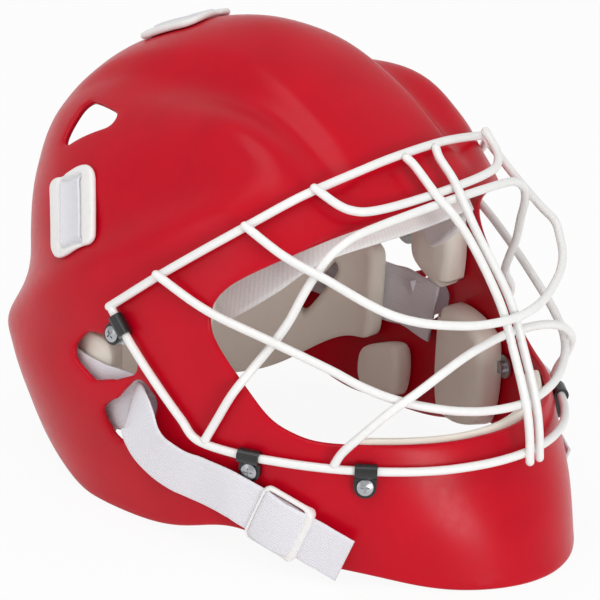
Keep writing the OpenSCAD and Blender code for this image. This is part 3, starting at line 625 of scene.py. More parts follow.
# Even finishes by the name of their colour: material, roughness, height of the grain in metres,
# its waves a metre, coat and metal
PLAIN = {
    "wire": ("dipped nylon white", 0.3, 0.00012, 260, 0.25, 0.0),
    "clip": ("dipped vinyl black", 0.34, 0.00015, 300, 0.2, 0.0),
    "zinc": ("zinc-plated steel", 0.3, 0.00008, 900, 0.0, 1.0),
    "plastic": ("moulded acetal white", 0.36, 0.0001, 350, 0.0, 0.0),
}


def plain_finish(key):
    """Even finish with a fine grain, from its row of the table."""
    name, roughness, grain, scale, coat, metal = PLAIN[key]

    def build(tree):
        """One colour, 4 percent darker in places."""
        c = getattr(finishes(), key)
        field = noise(tree, place_on(tree), scale, 3.0)
        base = tone(tree, field, 0.3, 0.7, shade(c, 0.96), tuple(c))
        return surface(tree, base, roughness, field, 0.3, grain,
                       {"Metallic": metal, "Coat Weight": coat, "Coat Roughness": 0.15})
    return finish(name, build)


def foam_finish():
    """Closed-cell EVA foam, cut and heat-skinned: a matt cream face with fine cells and faint stains."""
    def build(tree):
        """Stains about 36 mm across over cells about 1 mm across."""
        c = finishes().foam
        at = place_on(tree)
        cells = add(tree, "ShaderNodeTexVoronoi", {"Vector": at, "Scale": 1100.0}).outputs[0]
        base = tone(tree, noise(tree, at, 28.0, 5.0), 0.3, 0.7, shade(c, 0.95), tuple(c))
        return surface(tree, base, 0.85, cells, 0.15, 0.0002, {"Sheen Weight": 0.1, "Sheen Roughness": 0.5})
    return finish("closed-cell EVA foam", build)


def terry_finish():
    """Terry cloth: rows of cotton loops about 2.2 mm apart across the band, which soften every edge."""
    def build(tree):
        """Rows and loops added up: the colour is painted up to 7 percent darker in the hollows between them,
        as painted shade.
        """
        c = finishes().towel
        rows = bands(tree, "Y", 14.0, 3.0, 3.0, 9.0)
        height = calc(tree, "ADD", rows, noise(tree, place_on(tree), 900.0, 3.0, 0.7))
        # painted shade: the towel colour is darkened where the loop height is low, in the hollows between the
        # rows
        base = tone(tree, height, 0.4, 1.3, shade(c, 0.93), tuple(c))
        return surface(tree, base, 0.95, height, 0.22, 0.0004, {"Sheen Weight": 0.3})
    return finish("cotton terry cloth", build)


def webbing_finish():
    """Woven polyester webbing: ribs run along it 1.6 mm apart, crossed by the weft every 1.0 mm."""
    def build(tree):
        """Half the fuzz plus ribs times weft; the colour is painted up to 12 percent darker where this height
        is low, as painted shade in the weave's hollows.
        """
        c = finishes().webbing
        both = calc(tree, "MULTIPLY", bands(tree, "X", 19.6, 0.6, 1.0), bands(tree, "Y", 31.0, 1.2, 1.0))
        height = calc(tree, "MULTIPLY_ADD", noise(tree, place_on(tree), 1300.0, 2.0), 0.5, both)
        # painted shade: the yarn colour is darkened where the weave height is low, between the ribs and weft
        base = tone(tree, height, 0.1, 1.2, shade(c, 0.88), tuple(c))
        return surface(tree, base, 0.8, height, 0.45, 0.0004, {"Sheen Weight": 0.15})
    return finish("woven polyester webbing", build)


def length(name, text, default):
    """Field for a size in metres."""
    return bpy.props.FloatProperty(name=name, description=text, default=default, unit="LENGTH",
                                   subtype="DISTANCE", precision=4)


def colour(name, text, code):
    """Field for a colour, given as a hex sRGB value."""
    return bpy.props.FloatVectorProperty(name=name, description=text, default=srgb(code), size=4,
                                         subtype="COLOR", min=0, max=1)


class HelmetSizes(bpy.types.PropertyGroup):
    shell_height: length("Shell height", "Height of the crown above the standing plane", 0.252)
    shell_half_width: length("Half width", "Half of the greatest width, at the ears", 0.125)
    chin_reach: length("Chin reach", "Reach of the chin guard ahead of the origin", 0.187)
    rear_reach: length("Rear reach", "Reach of the back of the shell behind the origin", 0.158)
    shell_wall: length("Wall", "Thickness of the moulded wall", 0.004)
    band_rise: length("Band rise", "Rise of the raised band over the crown", 0.004)
    ridge_rise: length("Ridge rise", "Outward step of the ridge from brow to nape", 0.0035)
    edge_spacing: length("Mesh spacing", "Distance between points of the shell's mesh", 0.0032)
    wire: length("Wire", "Diameter of the cage wire with its coating", 0.0048)
    frame_gap: length("Frame gap", "Gap between the cage frame and the shell", 0.002)
    centre_gap: length("Centre gap", "Gap between the two wires down the middle", 0.0032)
    pad: length("Pad", "Thickness of the foam pads", 0.018)
    cradle: length("Cradle", "Thickness of the nape cradle", 0.012)
    webbing: length("Webbing", "Thickness of the webbing", 0.0018)
    tail_width: length("Strap width", "Width of the loose strap ends", 0.028)


class HelmetFinishes(bpy.types.PropertyGroup):
    shell: colour("Shell", "Pigment of the moulded shell", "#C3021E")
    wire: colour("Wire", "Coating of the cage wire", "#F3F3F1")
    clip: colour("Clip", "Coating of the cage clips", "#171719")
    zinc: colour("Zinc", "Plating of screws and nuts", "#B6B8BB")
    foam: colour("Foam", "Foam of the liner", "#F7F2E5")
    towel: colour("Towelling", "Cloth of the sweatband", "#F4F4F3")
    webbing: colour("Webbing", "Yarn of the straps", "#EFEEF4")
    plastic: colour("Plastic", "Strap plates and sliders", "#F3F2F0")


def sizes():
    """The sizes in the sidebar."""
    return bpy.context.scene.helmet_sizes


def finishes():
    """The colours in the sidebar."""
    return bpy.context.scene.helmet_finishes


def form():
    """The shell's form at the sizes in the sidebar."""
    return ShellForm(sizes())


EDGE = 1.8            # how far the rounded lips stand into an opening, near half the wall
NAPE_HALF = 50.0      # half width of the opening at the back of the neck
NAPE_TOP = 178.0      # height of its top
NAPE_CORNER = 26.0    # radius of its upper corners
RIM_STEP = 2.4        # distance of points round the rim and the face opening
VENT_STEP = 1.6       # distance of points round a vent
WEB_STEP = 1.2        # distance of sections along webbing


def with_mirror(half):
    """Closed loop on the disc from its right half, whose ends lie in the middle plane."""
    return np.vstack([half, (half * [1, -1])[::-1][1:-1]])


def face_loop(f):
    """Face opening on the disc: the side view, moved out by the lip, traced on the right and mirrored."""
    c = path(FACE, 14)
    t = unit(np.gradient(c, axis=0))
    c = c + EDGE * np.stack([-t[:, 1], t[:, 0]], -1)
    last = int(np.argmax(c[:, 0]))
    ends = []
    for part in (c[:last], c[last:][::-1]):
        z = part[0, 1]
        for _ in range(20):
            z = np.interp(f.skin(0, f.level(z))[1], part[:, 0], part[:, 1])
        ends.append(f.level(z))
    tt, uu = f.trace(1, 1, c[:, 0], c[:, 1], np.linspace(0.5, 110, 500))
    t = np.concatenate([[0], tt, [0]])
    u = np.concatenate([[ends[0]], uu, [ends[1]]])
    return with_mirror(f.to_disc(t, u))


def rim_loop(f):
    """Outer edge on the disc: along the rim, and up round the opening at the back of the neck."""
    a = np.radians(np.linspace(0, 90, 16))
    cx, cz = NAPE_HALF - NAPE_CORNER, NAPE_TOP - NAPE_CORNER
    r = NAPE_CORNER + EDGE
    x = np.concatenate([np.full(60, cx + r), cx + r * np.cos(a), np.linspace(cx, 0, 12)[1:]])
    z = np.concatenate([np.linspace(4, cz, 60), cz + r * np.sin(a), np.full(11, cz + r)])
    t, u = f.trace(0, -1, x, z, np.linspace(179.9, 100, 500))
    keep = u > f.level(f.rim_z(t) + EDGE) + 0.004
    t, u = t[keep], u[keep]
    rim_t = np.linspace(0, t[0], 260)
    t = np.concatenate([rim_t, t[1:], [180]])
    u = np.concatenate([f.level(f.rim_z(rim_t) + EDGE), u[1:], [u[-1]]])
    return with_mirror(f.to_disc(t, u))


def vent_loop(f, corners, r):
    """Vent on the disc: the hull of round corners that lie on the skin."""
    a = np.radians(np.arange(0, 360, 15))
    found = []
    for y, z in corners:
        n = f.facing(RIGHT, y, z)
        ax = unit(np.cross([0, 0, 1], n))
        circle = np.cos(a)[:, None] * ax + np.sin(a)[:, None] * np.cross(n, ax)
        ring = f.beside(RIGHT, y, z, 0) + (r + EDGE - 0.2) * circle
        found.append(f.to_disc(*f.trace(1, 1, ring[:, 1], ring[:, 2], np.linspace(20, 175, 600))))
    return hull(np.vstack(found))


def even_on(f, loop, step):
    """Loop on the disc with points at equal steps on the skin itself."""
    q = np.vstack([loop, loop[:1]])
    fine = np.stack([mix(q[:-1], q[1:], k / 6) for k in range(6)], 1).reshape(-1, 2)
    fine = np.vstack([fine, fine[:1]])
    s = along(f.place(fine))
    n = int(s[-1] / step)
    return read_off(np.arange(n) * s[-1] / n, s, fine)


def shell_seeds(f, h):
    """Points on the disc in rings, about h apart on the skin, and how near an edge each may lie."""
    seeds, near = [np.zeros((1, 2))], [np.ones(1)]
    for k, arc in enumerate(np.arange(h, f.arc[-1], h * ROW)):
        girth = np.interp(arc, f.arc, f.girth)
        r = np.interp(arc, f.arc, f.dr)
        n = max(6, int(girth / h))
        a = 2 * math.pi * (np.arange(n) + 0.5 * (k % 2)) / n
        seeds.append(np.stack([r * np.cos(a), r * np.sin(a)], -1))
        near.append(np.full(n, 0.62 * h * 2 * math.pi * r / girth))
    return np.vstack(seeds), np.concatenate(near)


class HELMET_OT_shell(bpy.types.Operator):
    """Moulded shell with its face opening, nape opening and six vents, all with rounded edges"""
    bl_idname = "helmet.shell"
    bl_label = "Shell"

    def execute(self, context):
        f = form()
        outer = rounded(even_on(f, rim_loop(f), RIM_STEP), 3)
        holes = [rounded(even_on(f, face_loop(f), RIM_STEP), 4)]
        for corners, r in VENTS:
            q = rounded(even_on(f, counterclockwise(vent_loop(f, corners, r)), VENT_STEP), 2)
            holes += [q, q * [1, -1]]
        seeds, near = shell_seeds(f, sizes().edge_spacing / MM)
        points, faces = slab(lambda q: f.place(q, 0), lambda q: f.place(q, f.wall), outer, holes, seeds, near,
                             half_round(EDGE))
        make("shell_moulding", points, faces, shell_finish(), ["shell"])
        return {"FINISHED"}


# The rim wire and the jaw wire follow the shell, at these angles round it from the face. The side run of the
# jaw wire is straight in side view, between two points given as y and z
RIM_ANGLES = [91.3, 84, 76, 68, 60, 51, 42, 20, 10, 0]
JAW_ANGLES = [63, 57, 50, 43, 36, 28, 20, 10, 0]
JAW_BAR = np.array([[22.6, 119.2], [-42, 64]])
JAW_SHARES = (-0.055, 0.16, 0.32, 0.48, 0.64, 0.8, 0.96)
JAW_Z = 64
# The rim wire lies in a slanting plane: its height at one y, and its fall for each step back
RIM_Z, RIM_Y, RIM_SLOPE = 124, 24, 0.86
# The frame swings away from the shell ahead of these angles, by these distances at the middle
RIM_STAND = (60, 2.5)
JAW_STAND = (34, 4)
LAP = 0.4   # how far two welded wires sink into each other
# The other wires as x, y and z, from the wearer's right to the middle
BROW = [[-65, -79, 197.5], [-59, -85, 194.5], [-51, -89, 193.5], [-36, -92, 193.4], [-16, -93.7, 193.6],
        [0, -94.1, 193.6]]
EYE = [[-103, -62, 112], [-97.8, -68, 124], [-94, -75, 138], [-90, -80, 153], [-86, -85, 166],
       [-79, -88.5, 176], [-66, -92, 183.5], [-48, -95.5, 187], [-24, -98, 189], [0, -98.8, 189.7]]
UPPER = [[-95, -69.5, 173.5], [-87.5, -94, 165.5], [-84, -108, 161], [-78, -117, 156], [-70, -126, 151],
         [-59, -134, 147], [-46, -140.5, 144], [-30, -147, 141.5], [-15, -151, 140.5], [0, -152.2, 140]]
LOWER = [[-115.5, -36, 137.5], [-101.8, -69.6, 127.2], [-88, -100, 117], [-81, -115, 111], [-72, -129, 106],
         [-60, -141, 102], [-43, -152, 98], [-24, -159.5, 95.5], [0, -162.9, 94.3]]
CHIN_BAR = [[-90.5, -114.5, 75], [-86.5, -121.5, 84.5], [-77, -132, 99], [-64, -140, 110],
            [-50, -145, 119], [-34, -147.5, 125.5], [-16, -148.5, 129], [0, -148.6, 130]]
# Centre bars from the rim wire down: two bends given in full, then offsets from half the bars' distance
CENTRE_TOP = [[-12, -79.2, 211.6], [-10, -84, 207.5]]
CENTRE = [[-5, -97, 197], [0, -117, 178], [0, -142.5, 148], [0, -155.5, 122], [0, -166, 97],
          [0, -170.3, 80], [0, -172.2, 64.3]]


class CageForm:
    """Paths of the cage wires: a frame that follows the shell at a gap, and bars bent between its sides."""

    def __init__(self, f, s):
        self.f = f
        self.d = s.wire / MM
        self.r = self.d / 2
        self.off = self.r + s.frame_gap / MM
        self.bar_x = (self.d + s.centre_gap / MM) / 2

    def frame_point(self, t, d):
        """Point at angle t in the plane of the rim wire, moved out by d. The level is found by going 0.6 of
        the way to the plane, 12 times."""
        u = 0.65
        for _ in range(12):
            u = mix(u, self.f.level(RIM_Z - RIM_SLOPE * (self.f.skin(t, u)[1] - RIM_Y)), 0.6)
        return self.f.out(float(t), float(u), float(d))

    def stand(self, t, start, more):
        """Distance off the shell at angle t: the frame's own, and more times 1 less t over start."""
        return self.off + more * max(0, 1 - t / start)

    def on_rim(self, t, d):
        """Start of a bar that is welded on the outside of the rim wire."""
        return [self.frame_point(t, d + self.d - LAP)]

    def jaw_side(self, s):
        """Point at share s of the side run of the jaw wire."""
        a = mix(JAW_BAR[0], JAW_BAR[1], s)
        return self.f.beside(RIGHT, a[0], a[1], self.off)

    def jaw_point(self, t, d):
        """Point of the jaw wire's front run at angle t, moved out by d."""
        return self.f.at(float(t), JAW_Z, float(d))

    def wires(self):
        """Path of each wire by the name of the node that it stands for."""
        f, off = self.f, self.off
        halves = {
            "rim_wire": [self.frame_point(t, self.stand(t, *RIM_STAND)) for t in RIM_ANGLES],
            "jaw_wire": [self.jaw_side(k) for k in JAW_SHARES]
            + [self.jaw_point(t, self.stand(t, *JAW_STAND)) for t in JAW_ANGLES],
            "brow_wire": self.on_rim(42, self.stand(42, *RIM_STAND)) + BROW,
            "eye_wire": [self.jaw_side(1) + [0, -2, 4], f.beside(RIGHT, -49, 80, off),
                         f.beside(RIGHT, -56, 97, off + 0.6)] + EYE,
            "upper_wire": self.on_rim(63, off) + UPPER,
            "lower_wire": self.on_rim(83, off) + LOWER,
            "chin_wire": [self.jaw_point(f.angle(-107.5, JAW_Z), off) + [0, -1, 3]] + CHIN_BAR,
        }
        made = {name: path(whole(p), 12) for name, p in halves.items()}
        bar = np.array(CENTRE_TOP + [[x - self.bar_x, y, z] for x, y, z in CENTRE], float)
        for side, word in SIDES:
            made["centre_wire_" + word] = path(bar * [side, 1, 1], 12)
        return made


class HELMET_OT_cage(bpy.types.Operator):
    """Cage of coated steel wires, welded where they cross"""
    bl_idname = "helmet.cage"
    bl_label = "Cage"

    def execute(self, context):
        cage = CageForm(form(), sizes())
        for name, p in cage.wires().items():
            points, faces = tube(even(p, 2.0), cage.r)
            make(name + "_coated", points, faces, plain_finish("wire"), [name])
        return {"FINISHED"}


class HELMET_OT_hardware(bpy.types.Operator):
    """Clips, screws and tee nuts: the carried-over pieces get their finishes"""
    bl_idname = "helmet.hardware"
    bl_label = "Clips and screws"

    def execute(self, context):
        for node, key, slot in (("cage_clips", "clip", "clip_black"), ("clip_screws", "zinc", "zinc_steel"),
                                ("tee_nuts", "zinc", "zinc_steel")):
            obj = bpy.data.objects[node]
            obj.data.materials.clear()
            obj.data.materials.append(plain_finish(key))
        return {"FINISHED"}


def patch(corners, bow, step=2.2):
    """Outline of a pad: four corners joined, the sides bowed out and the corners drawn in by a share."""
    c = np.asarray(corners, float)
    k = np.linspace(-1, 1, 60)[:-1]
    one = np.ones_like(k)
    sides = ([k, -one], [one, k], [-k, one], [-one, -k])
    v = np.vstack([np.stack(p, -1) for p in sides])
    x = v[:, 0] * np.sqrt(1 - bow * v[:, 1] ** 2)
    y = v[:, 1] * np.sqrt(1 - bow * v[:, 0] ** 2)
    w = (np.stack([x, y], -1) + 1) / 2
    a, b = w[:, :1], w[:, 1:]
    q = mix(mix(c[0], c[1], a), mix(c[3], c[2], a), b)
    return rounded(even(counterclockwise(q), step, True), 5)


def pucker(q, seed, amount):
    """Small swells of a hand-cut foam face: three crossing sine waves of random direction."""
    rng = np.random.default_rng(seed)
    total = 0
    for wave in (19.0, 31.0, 47.0):
        a, ph = rng.uniform(0, math.pi), rng.uniform(0, 6.28)
        phase = (q[:, 0] * math.cos(a) + q[:, 1] * math.sin(a)) * 2 * math.pi / wave + ph
        total = total + np.sin(phase) * wave / 47
    return amount * total


FOAM_STEP = 2.4   # distance of points on a foam face
SWELL = 0.22      # height of its swells


def make_foam(node, place, outline, back, t, edge, seed, holes=(), dome=0.08):
    """Foam piece on a place function of two coordinates and depth: a face with a slight dome and swells, a
    rolled front edge, straight sides and a back that follows the wall."""
    loop = shifted(outline, -edge)
    mid, span = (loop.max(0) + loop.min(0)) / 2, np.ptp(loop, axis=0) / 2

    def face(q):
        """Dome and swells fade to the edge as 1 less the fourth power of the share of the way to it."""
        v = (q - mid) / span
        crown = np.clip(1 - v[:, 0] ** 4, 0, 1) * np.clip(1 - v[:, 1] ** 4, 0, 1)
        return place(q, back + t * (1 - dome + dome * crown) + pucker(q, seed, SWELL) * crown)

    def wall(q):
        """The back, all at one depth."""
        return place(q, back + 0 * q[:, 0])
    inner = [shifted(counterclockwise(x), edge * 0.6) for x in holes]
    points, faces = sheet(face, wall, loop, inner, FOAM_STEP, 0.6 * FOAM_STEP, soft_edge(edge, t))
    make(node + "_foam", points, faces, foam_finish(), [node])


SEAT = 0.8   # depth of a pad's back below the inner face of the wall
# Pads of both sides: corners as y and z, how much deeper they sit, how much thinner they are, edge radius
FLANK_PADS = (("temple_pad", [[-27, 84], [9, 100], [6, 152], [-29, 148]], 0, 0, 6),
              ("cheek_pad", [[-68, 15], [-26, 8], [-14, 82], [-66, 75]], 0, 0, 6),
              ("ear_pad", [[6, 7], [38, 6], [44, 30], [12, 42]], 0, 2, 5),
              ("liner_pad", [[-22, 157], [52, 140], [56, 176], [-14, 200]], 1.2, 6, 5))


class HELMET_OT_liner(bpy.types.Operator):
    """Foam pads of the liner"""
    bl_idname = "helmet.liner"
    bl_label = "Liner pads"

    def execute(self, context):
        f, t = form(), sizes().pad / MM
        seat = f.wall + SEAT
        for k, (name, corners, deeper, thinner, edge) in enumerate(FLANK_PADS):
            for side, word in SIDES:
                make_foam(name + "_" + word, lambda q, d, side=side: f.beside(side, q[:, 0], q[:, 1], -d),
                          patch(corners, 0.25), seat + deeper, t - thinner, edge, 11 * k + side + 5)
        # Pads of the middle: half angle, lowest and highest z, stretch of an angle to near millimetres, depth
        # of the back, thickness, bow of the sides and edge radius
        for name, a, low, high, k, back, thick, bow, edge in (
                ("brow_pad", 50, 190, 209, 1.3, seat + 0.7, t - 6, 0.12, 3.5),
                ("chin_pad", 43, 22, 81, 2.0, seat + 0.3, 10, 0.15, 4),
                ("crown_pad", 112, 222, 246, 1.0, seat + 0.7, t - 8, 0.1, 3)):
            corners = np.array([[-a, low], [a, low], [a, high], [-a, high]], float)
            make_foam(name, lambda q, d, k=k: f.at(q[:, 0] / k, q[:, 1], -d), patch(corners * [k, 1], bow),
                      back, thick, edge, 71)
        return {"FINISHED"}


# The cradle is bent round an oval: half width in from the shell's, depth and y of the middle. It ends at an
# angle from the back, and an angle is stretched to near millimetres
CRADLE_INSET, CRADLE_DEEP, CRADLE_Y = 10.6, 78.0, 42.0
CRADLE_END, CRADLE_STRETCH = 95.5, 1.75
CRADLE_SLOT = ((60, 50), (73, 76))   # ends of a strap slot, as angle and height
SLOT_R = 6

SWEAT_END = 79.0      # angle of the sweatband's ends
SWEAT_H = 36.0        # its height
SWEAT_Z = 180         # height of its lower edge at the middle
SWEAT_DROP = 66       # how much lower the ends lie
SWEAT_CURVE = 2.6     # power of the angle in the drop
SWEAT_STRETCH = 1.5   # stretch of an angle to near millimetres


def cradle_outline():
    """Outline of the cradle on its flat sheet, low at the back and higher at its ends."""
    a = np.linspace(-CRADLE_END, CRADLE_END, 200)
    low = 9 + 28 * smooth((np.abs(a) - 40) / 46)
    top = 61 + 36 * smooth((np.abs(a) - 30) / 50)
    outline = np.vstack([np.stack([a * CRADLE_STRETCH, low], -1),
                         np.stack([a[::-1] * CRADLE_STRETCH, top[::-1]], -1)])
    return rounded(even(outline, 2.0, True), 30)


def cradle_slot(side):
    """Outline of a strap slot: the hull of two circles."""
    ring = np.radians(np.arange(0, 360, 20))
    x, y = SLOT_R * np.cos(ring), SLOT_R * np.sin(ring)
    c = np.vstack([np.stack([side * a * CRADLE_STRETCH + x, z + y], -1) for a, z in CRADLE_SLOT])
    return rounded(even(counterclockwise(hull(c)), 1.6, True), 2)


class HELMET_OT_cradle(bpy.types.Operator):
    """Nape cradle with its two strap slots, and the terry sweatband over the brow"""
    bl_idname = "helmet.cradle"
    bl_label = "Cradle and sweatband"

    def execute(self, context):
        f, s = form(), sizes()
        wide = f.w - CRADLE_INSET

        def bent(q, d):
            """Place on the cradle's oval, in from its back by d."""
            a = np.radians(q[:, 0] / CRADLE_STRETCH)
            return np.stack([(wide - d) * np.sin(a), CRADLE_Y + (CRADLE_DEEP - d) * np.cos(a), q[:, 1]], -1)
        make_foam("nape_cradle", bent, cradle_outline(), 0.0, s.cradle / MM, 4.0, 5,
                  holes=[cradle_slot(side) for side in (-1, 1)], dome=0.0)

        # The sweatband lies on the brow pad, and 7 mm deeper beside it, to pass over the temple pads
        back = f.wall + 1.5 + s.pad / MM - 6 + 0.9

        def on_brow(q, d):
            """Place on the band, in from its back by d."""
            a = q[:, 0] / SWEAT_STRETCH
            z = SWEAT_Z - SWEAT_DROP * (np.abs(a) / SWEAT_END) ** SWEAT_CURVE
            return f.at(a, z + q[:, 1], -(back + 7 * smooth((np.abs(a) - 38) / 22)) - d)

        def face(q):
            """The cloth is quilted in shallow ribs, 7 mm apart along the band."""
            return on_brow(q, 5.4 + 0.06 * np.sin(q[:, 0] * 2 * math.pi / 7) + pucker(q, 3, 0.35))
        e = SWEAT_END * SWEAT_STRETCH
        loop = shifted(patch([[-e, 0], [e, 0], [e, SWEAT_H], [-e, SWEAT_H]], 0.06, 1.6), -2.4)
        points, faces = sheet(face, lambda q: on_brow(q, 0 * q[:, 0]), loop, [], 1.8, 1.0, soft_edge(2.4, 6))
        make("sweatband_terry", points, faces, terry_finish(), ["sweatband"],
             uv=sweat_map(points))
        return {"FINISHED"}


def sweat_map(p):
    """Place up the band and along it, in millimetres: the height, and 1.6 for each degree round it."""
    a = np.degrees(np.arctan2(-p[:, 0], MID_Y - p[:, 1]))
    return np.stack([p[:, 2], a * 1.6], -1)


# Middle line of the nape band on one side, as y and z, and where it crosses the back, as x, y and z
BAND = np.array([[-6, 64.5], [6, 66], [20, 67], [32, 66], [45, 66], [58, 67], [72, 68], [86, 70], [100, 72],
                 [110, 74]])
BAND_BACK = [[-68, 134, 76], [-36, 142, 78], [0, 144, 79]]
BAND_W = 36
# A loose strap end outside its vent hangs in a fold before it lies along the jaw: y, z and distance off the
# shell. The first point, inside, has its distance from the band's
TAIL = [[9, 69, -3.4], [3, 70.5, 2.5], [-3, 68, 6.3], [-7, 61, 8], [-14, 53, 7.5], [-27, 46.5, 6],
        [-42, 43.5, 4.6]]
TAIL_RUN = (-30, -16, 16, 40)   # its straight run, as distances from the slider's middle
SLIDER_Y, SLIDER_Z = -86, 30


def slide_frame(f, web):
    """Origin and axes of the right slider: along the strap, across it, and out from the shell."""
    y, z = SLIDER_Y, SLIDER_Z
    way = unit(f.beside(RIGHT, y - 12, z - 5, 0) - f.beside(RIGHT, y + 12, z + 5, 0))
    out = f.facing(RIGHT, y, z)
    t = 2 * 3.2 + web + 0.6
    return f.beside(RIGHT, y, z, t / 2 + 0.9), way, np.cross(out, way), out


def upright(f, y, z):
    """Direction up the shell's side, from 14 mm below a point to 14 mm above it."""
    return unit(f.beside(RIGHT, y, z + 14, 0) - f.beside(RIGHT, y, z - 14, 0))


def make_webbing(name, nodes, line, across, w, t, waves, seed, arch=0.0, body="helmet"):
    """Piece of webbing along a line."""
    points, faces, uv = strap(line, across, w, t, waves, seed, arch)
    make(name, points, faces, webbing_finish(), nodes, body, uv)


def nape_band(f, web, depth):
    """Webbing round the back of the head. Its front ends lap over the strap ends on the wearer's side."""
    y, z = BAND.T
    half = np.vstack([f.beside(RIGHT, y, z, -(depth + np.where(y < 20, 2.4, 0))), BAND_BACK])
    lean = np.vstack([upright(f, y, z), np.tile([0, 0, 1.0], (3, 1))])
    lean = np.vstack([lean, lean[:-1][::-1] * [-1, 1, 1]])
    make_webbing("nape_band_webbing", ["nape_band"], path(whole(half), 10), path(lean, 10), BAND_W,
                 web, 0.25, 4)


def strap_tails(f, web, depth, wide):
    """The two loose strap ends, leaned over with the shell, and upright where they pass the vent."""
    tail = np.array([[14, 67, -depth + 0.4]] + TAIL)
    mid, way, _, out = slide_frame(f, web)
    p = np.vstack([f.beside(RIGHT, tail[:, 0], tail[:, 1], tail[:, 2]), [mid + k * way for k in TAIL_RUN]])
    facing = np.vstack([f.facing(RIGHT, tail[:, 0], tail[:, 1]), np.tile(out, (4, 1))])
    lean = unit(np.cross(facing, np.gradient(p, axis=0)))
    lean[:2] = upright(f, tail[:2, 0], tail[:2, 1]) + [0, -0.3, 0]
    lean[2] = unit(lean[1] + lean[3])
    for side, word in SIDES:
        turn = [side, 1, 1]
        make_webbing("strap_tail_webbing_" + word, ["strap_tail_" + word], path(p * turn, 10),
                     path(lean * turn, 10), wide, web, 0.22, 8 + side)


class HELMET_OT_webbing(bpy.types.Operator):
    """Nape band and the two loose strap ends that leave by the jaw vents"""
    bl_idname = "helmet.webbing"
    bl_label = "Webbing"

    def execute(self, context):
        f, s = form(), sizes()
        web = s.webbing / MM
        depth = f.wall + SEAT + web / 2 + 2.8
        nape_band(f, web, depth)
        strap_tails(f, web, depth, s.tail_width / MM)
        return {"FINISHED"}


PLATE_Y, PLATE_Z = 76, 158           # middle of a side plate
PLATE_W, PLATE_H = 19.0, 22.5        # half sizes of a plate
PLATE_R, PLATE_T = 7.0, 3.5          # its corner radius and thickness
PLATE_LIP = 1.5
PLATE_FOLLOW = 0.9                   # share of the shell's curve that the plate takes up
FINE_STEP, FINE_NEAR = 0.9, 0.5      # mesh of plates and sliders: distance of points, and to an edge


def round_box(w, h, r, step):
    """Closed outline of a rectangle of half sizes w and h, with corners of radius r."""
    a = np.radians(np.arange(0, 360, 6))
    corner = np.floor(a / (math.pi / 2) + 1e-6)
    cx = np.where((corner == 0) | (corner == 3), 1, -1)
    cy = np.where(corner < 2, 1, -1)
    return even(np.stack([cx * (w - r) + r * np.cos(a), cy * (h - r) + r * np.sin(a)], -1), step, True)


def plate_frame(f, side):
    """Origin and axes of a strap plate: x across, y up the plate, z out. Side 0 is the one on top."""
    if side == 0:
        u = f.level(0.93 * f.h)
        p, n, up = f.skin(180.0, u), f.normal(180.0, u), np.array([0, -1, 0.4])
    else:
        def point(y, z):
            """Skin near the plate's middle."""
            return f.beside(RIGHT, PLATE_Y + y, PLATE_Z + z, 0)
        n = unit(np.cross(point(-16, 12) - point(16, -12), point(10, 17) - point(-10, -17))) * [side, 1, 1]
        p, up = f.beside(side, PLATE_Y, PLATE_Z, 0), np.array([0, 16, 30.0])
    x = unit(np.cross(up, n))
    return p, np.stack([x, np.cross(n, x), n])


def quadratic(x, y):
    """The six terms of a quadratic in x and y."""
    return np.stack([np.ones_like(x), x, y, x * x, x * y, y * y], -1)


def plate_bed(f, p, axes, side):
    """Quadratic fit of the shell under a plate: height out of the plate's plane at x and y along it."""
    if side == 0:
        t, z = np.meshgrid(np.linspace(150, 210, 15), np.linspace(0.86, 0.985, 15) * f.h)
        q = f.at(t, z, 0 * t)
    else:
        y, z = np.meshgrid(np.linspace(46, 106, 15), np.linspace(128, 188, 15))
        q = f.beside(side, y, z, 0)
    v = (q.reshape(-1, 3) - p) @ axes.T
    v = v[(np.abs(v[:, 0]) < 22) & (np.abs(v[:, 1]) < 26)]
    fit = np.linalg.lstsq(quadratic(v[:, 0], v[:, 1]), v[:, 2], rcond=None)[0]
    return lambda x, y: quadratic(x, y) @ fit


def make_plate(f, side, word):
    """One strap plate with a pocket across its middle, and the strip of webbing in it."""
    p, axes = plate_frame(f, side)
    bed = plate_bed(f, p, axes, side)
    loop = round_box(PLATE_W, PLATE_H, PLATE_R, 1.2)
    # The top and bottom edges have a shallow S
    loop[:, 1] += 1.5 * np.sin(loop[:, 0] / PLATE_W * math.pi) * smooth((np.abs(loop[:, 1]) - 12) / 8)
    loop = shifted(rounded(loop, 2), -PLATE_LIP)

    def front(q):
        """Front face: the bed and the thickness, less the pocket, plus a low ridge beside it."""
        x, y = q[:, 0], q[:, 1]
        pocket = smooth((11.2 - np.abs(x)) / 3.2) * smooth((20.4 - np.abs(y)) / 1.8)
        deep = 0.4 + 0.5 * smooth((np.abs(y) - 15) / 3)
        rise = 0.3 * bell(np.abs(x) - 14.5, 3.0) * smooth((20 - np.abs(y)) / 5)
        z = bed(x, y) * PLATE_FOLLOW + 0.7 + PLATE_T * (1 - deep * pocket) + rise
        return p + np.stack([x, y, z], -1) @ axes

    def back(q):
        """Back face, half a millimetre off the bed."""
        return p + np.stack([q[:, 0], q[:, 1], bed(q[:, 0], q[:, 1]) * PLATE_FOLLOW + 0.5], -1) @ axes
    points, faces = sheet(front, back, loop, [], FINE_STEP, FINE_NEAR, half_round(PLATE_LIP))
    make("strap_plate_moulding_" + word, points, faces, plain_finish("plastic"),
         ["strap_plate_" + word])
    y = np.linspace(-19.6, 19.6, 60)
    z = bed(0 * y, y) * PLATE_FOLLOW + 0.7 + PLATE_T * 0.6 + 0.9 - 2.8 * smooth((np.abs(y) - 15.4) / 4)
    line = p + np.stack([0 * y, y, z], -1) @ axes
    make_webbing("plate_webbing_" + word, ["plate_strap_" + word], line, np.tile(axes[0], (60, 1)), 17.0, 1.8,
                 0.12, 20 + side, 1.5)


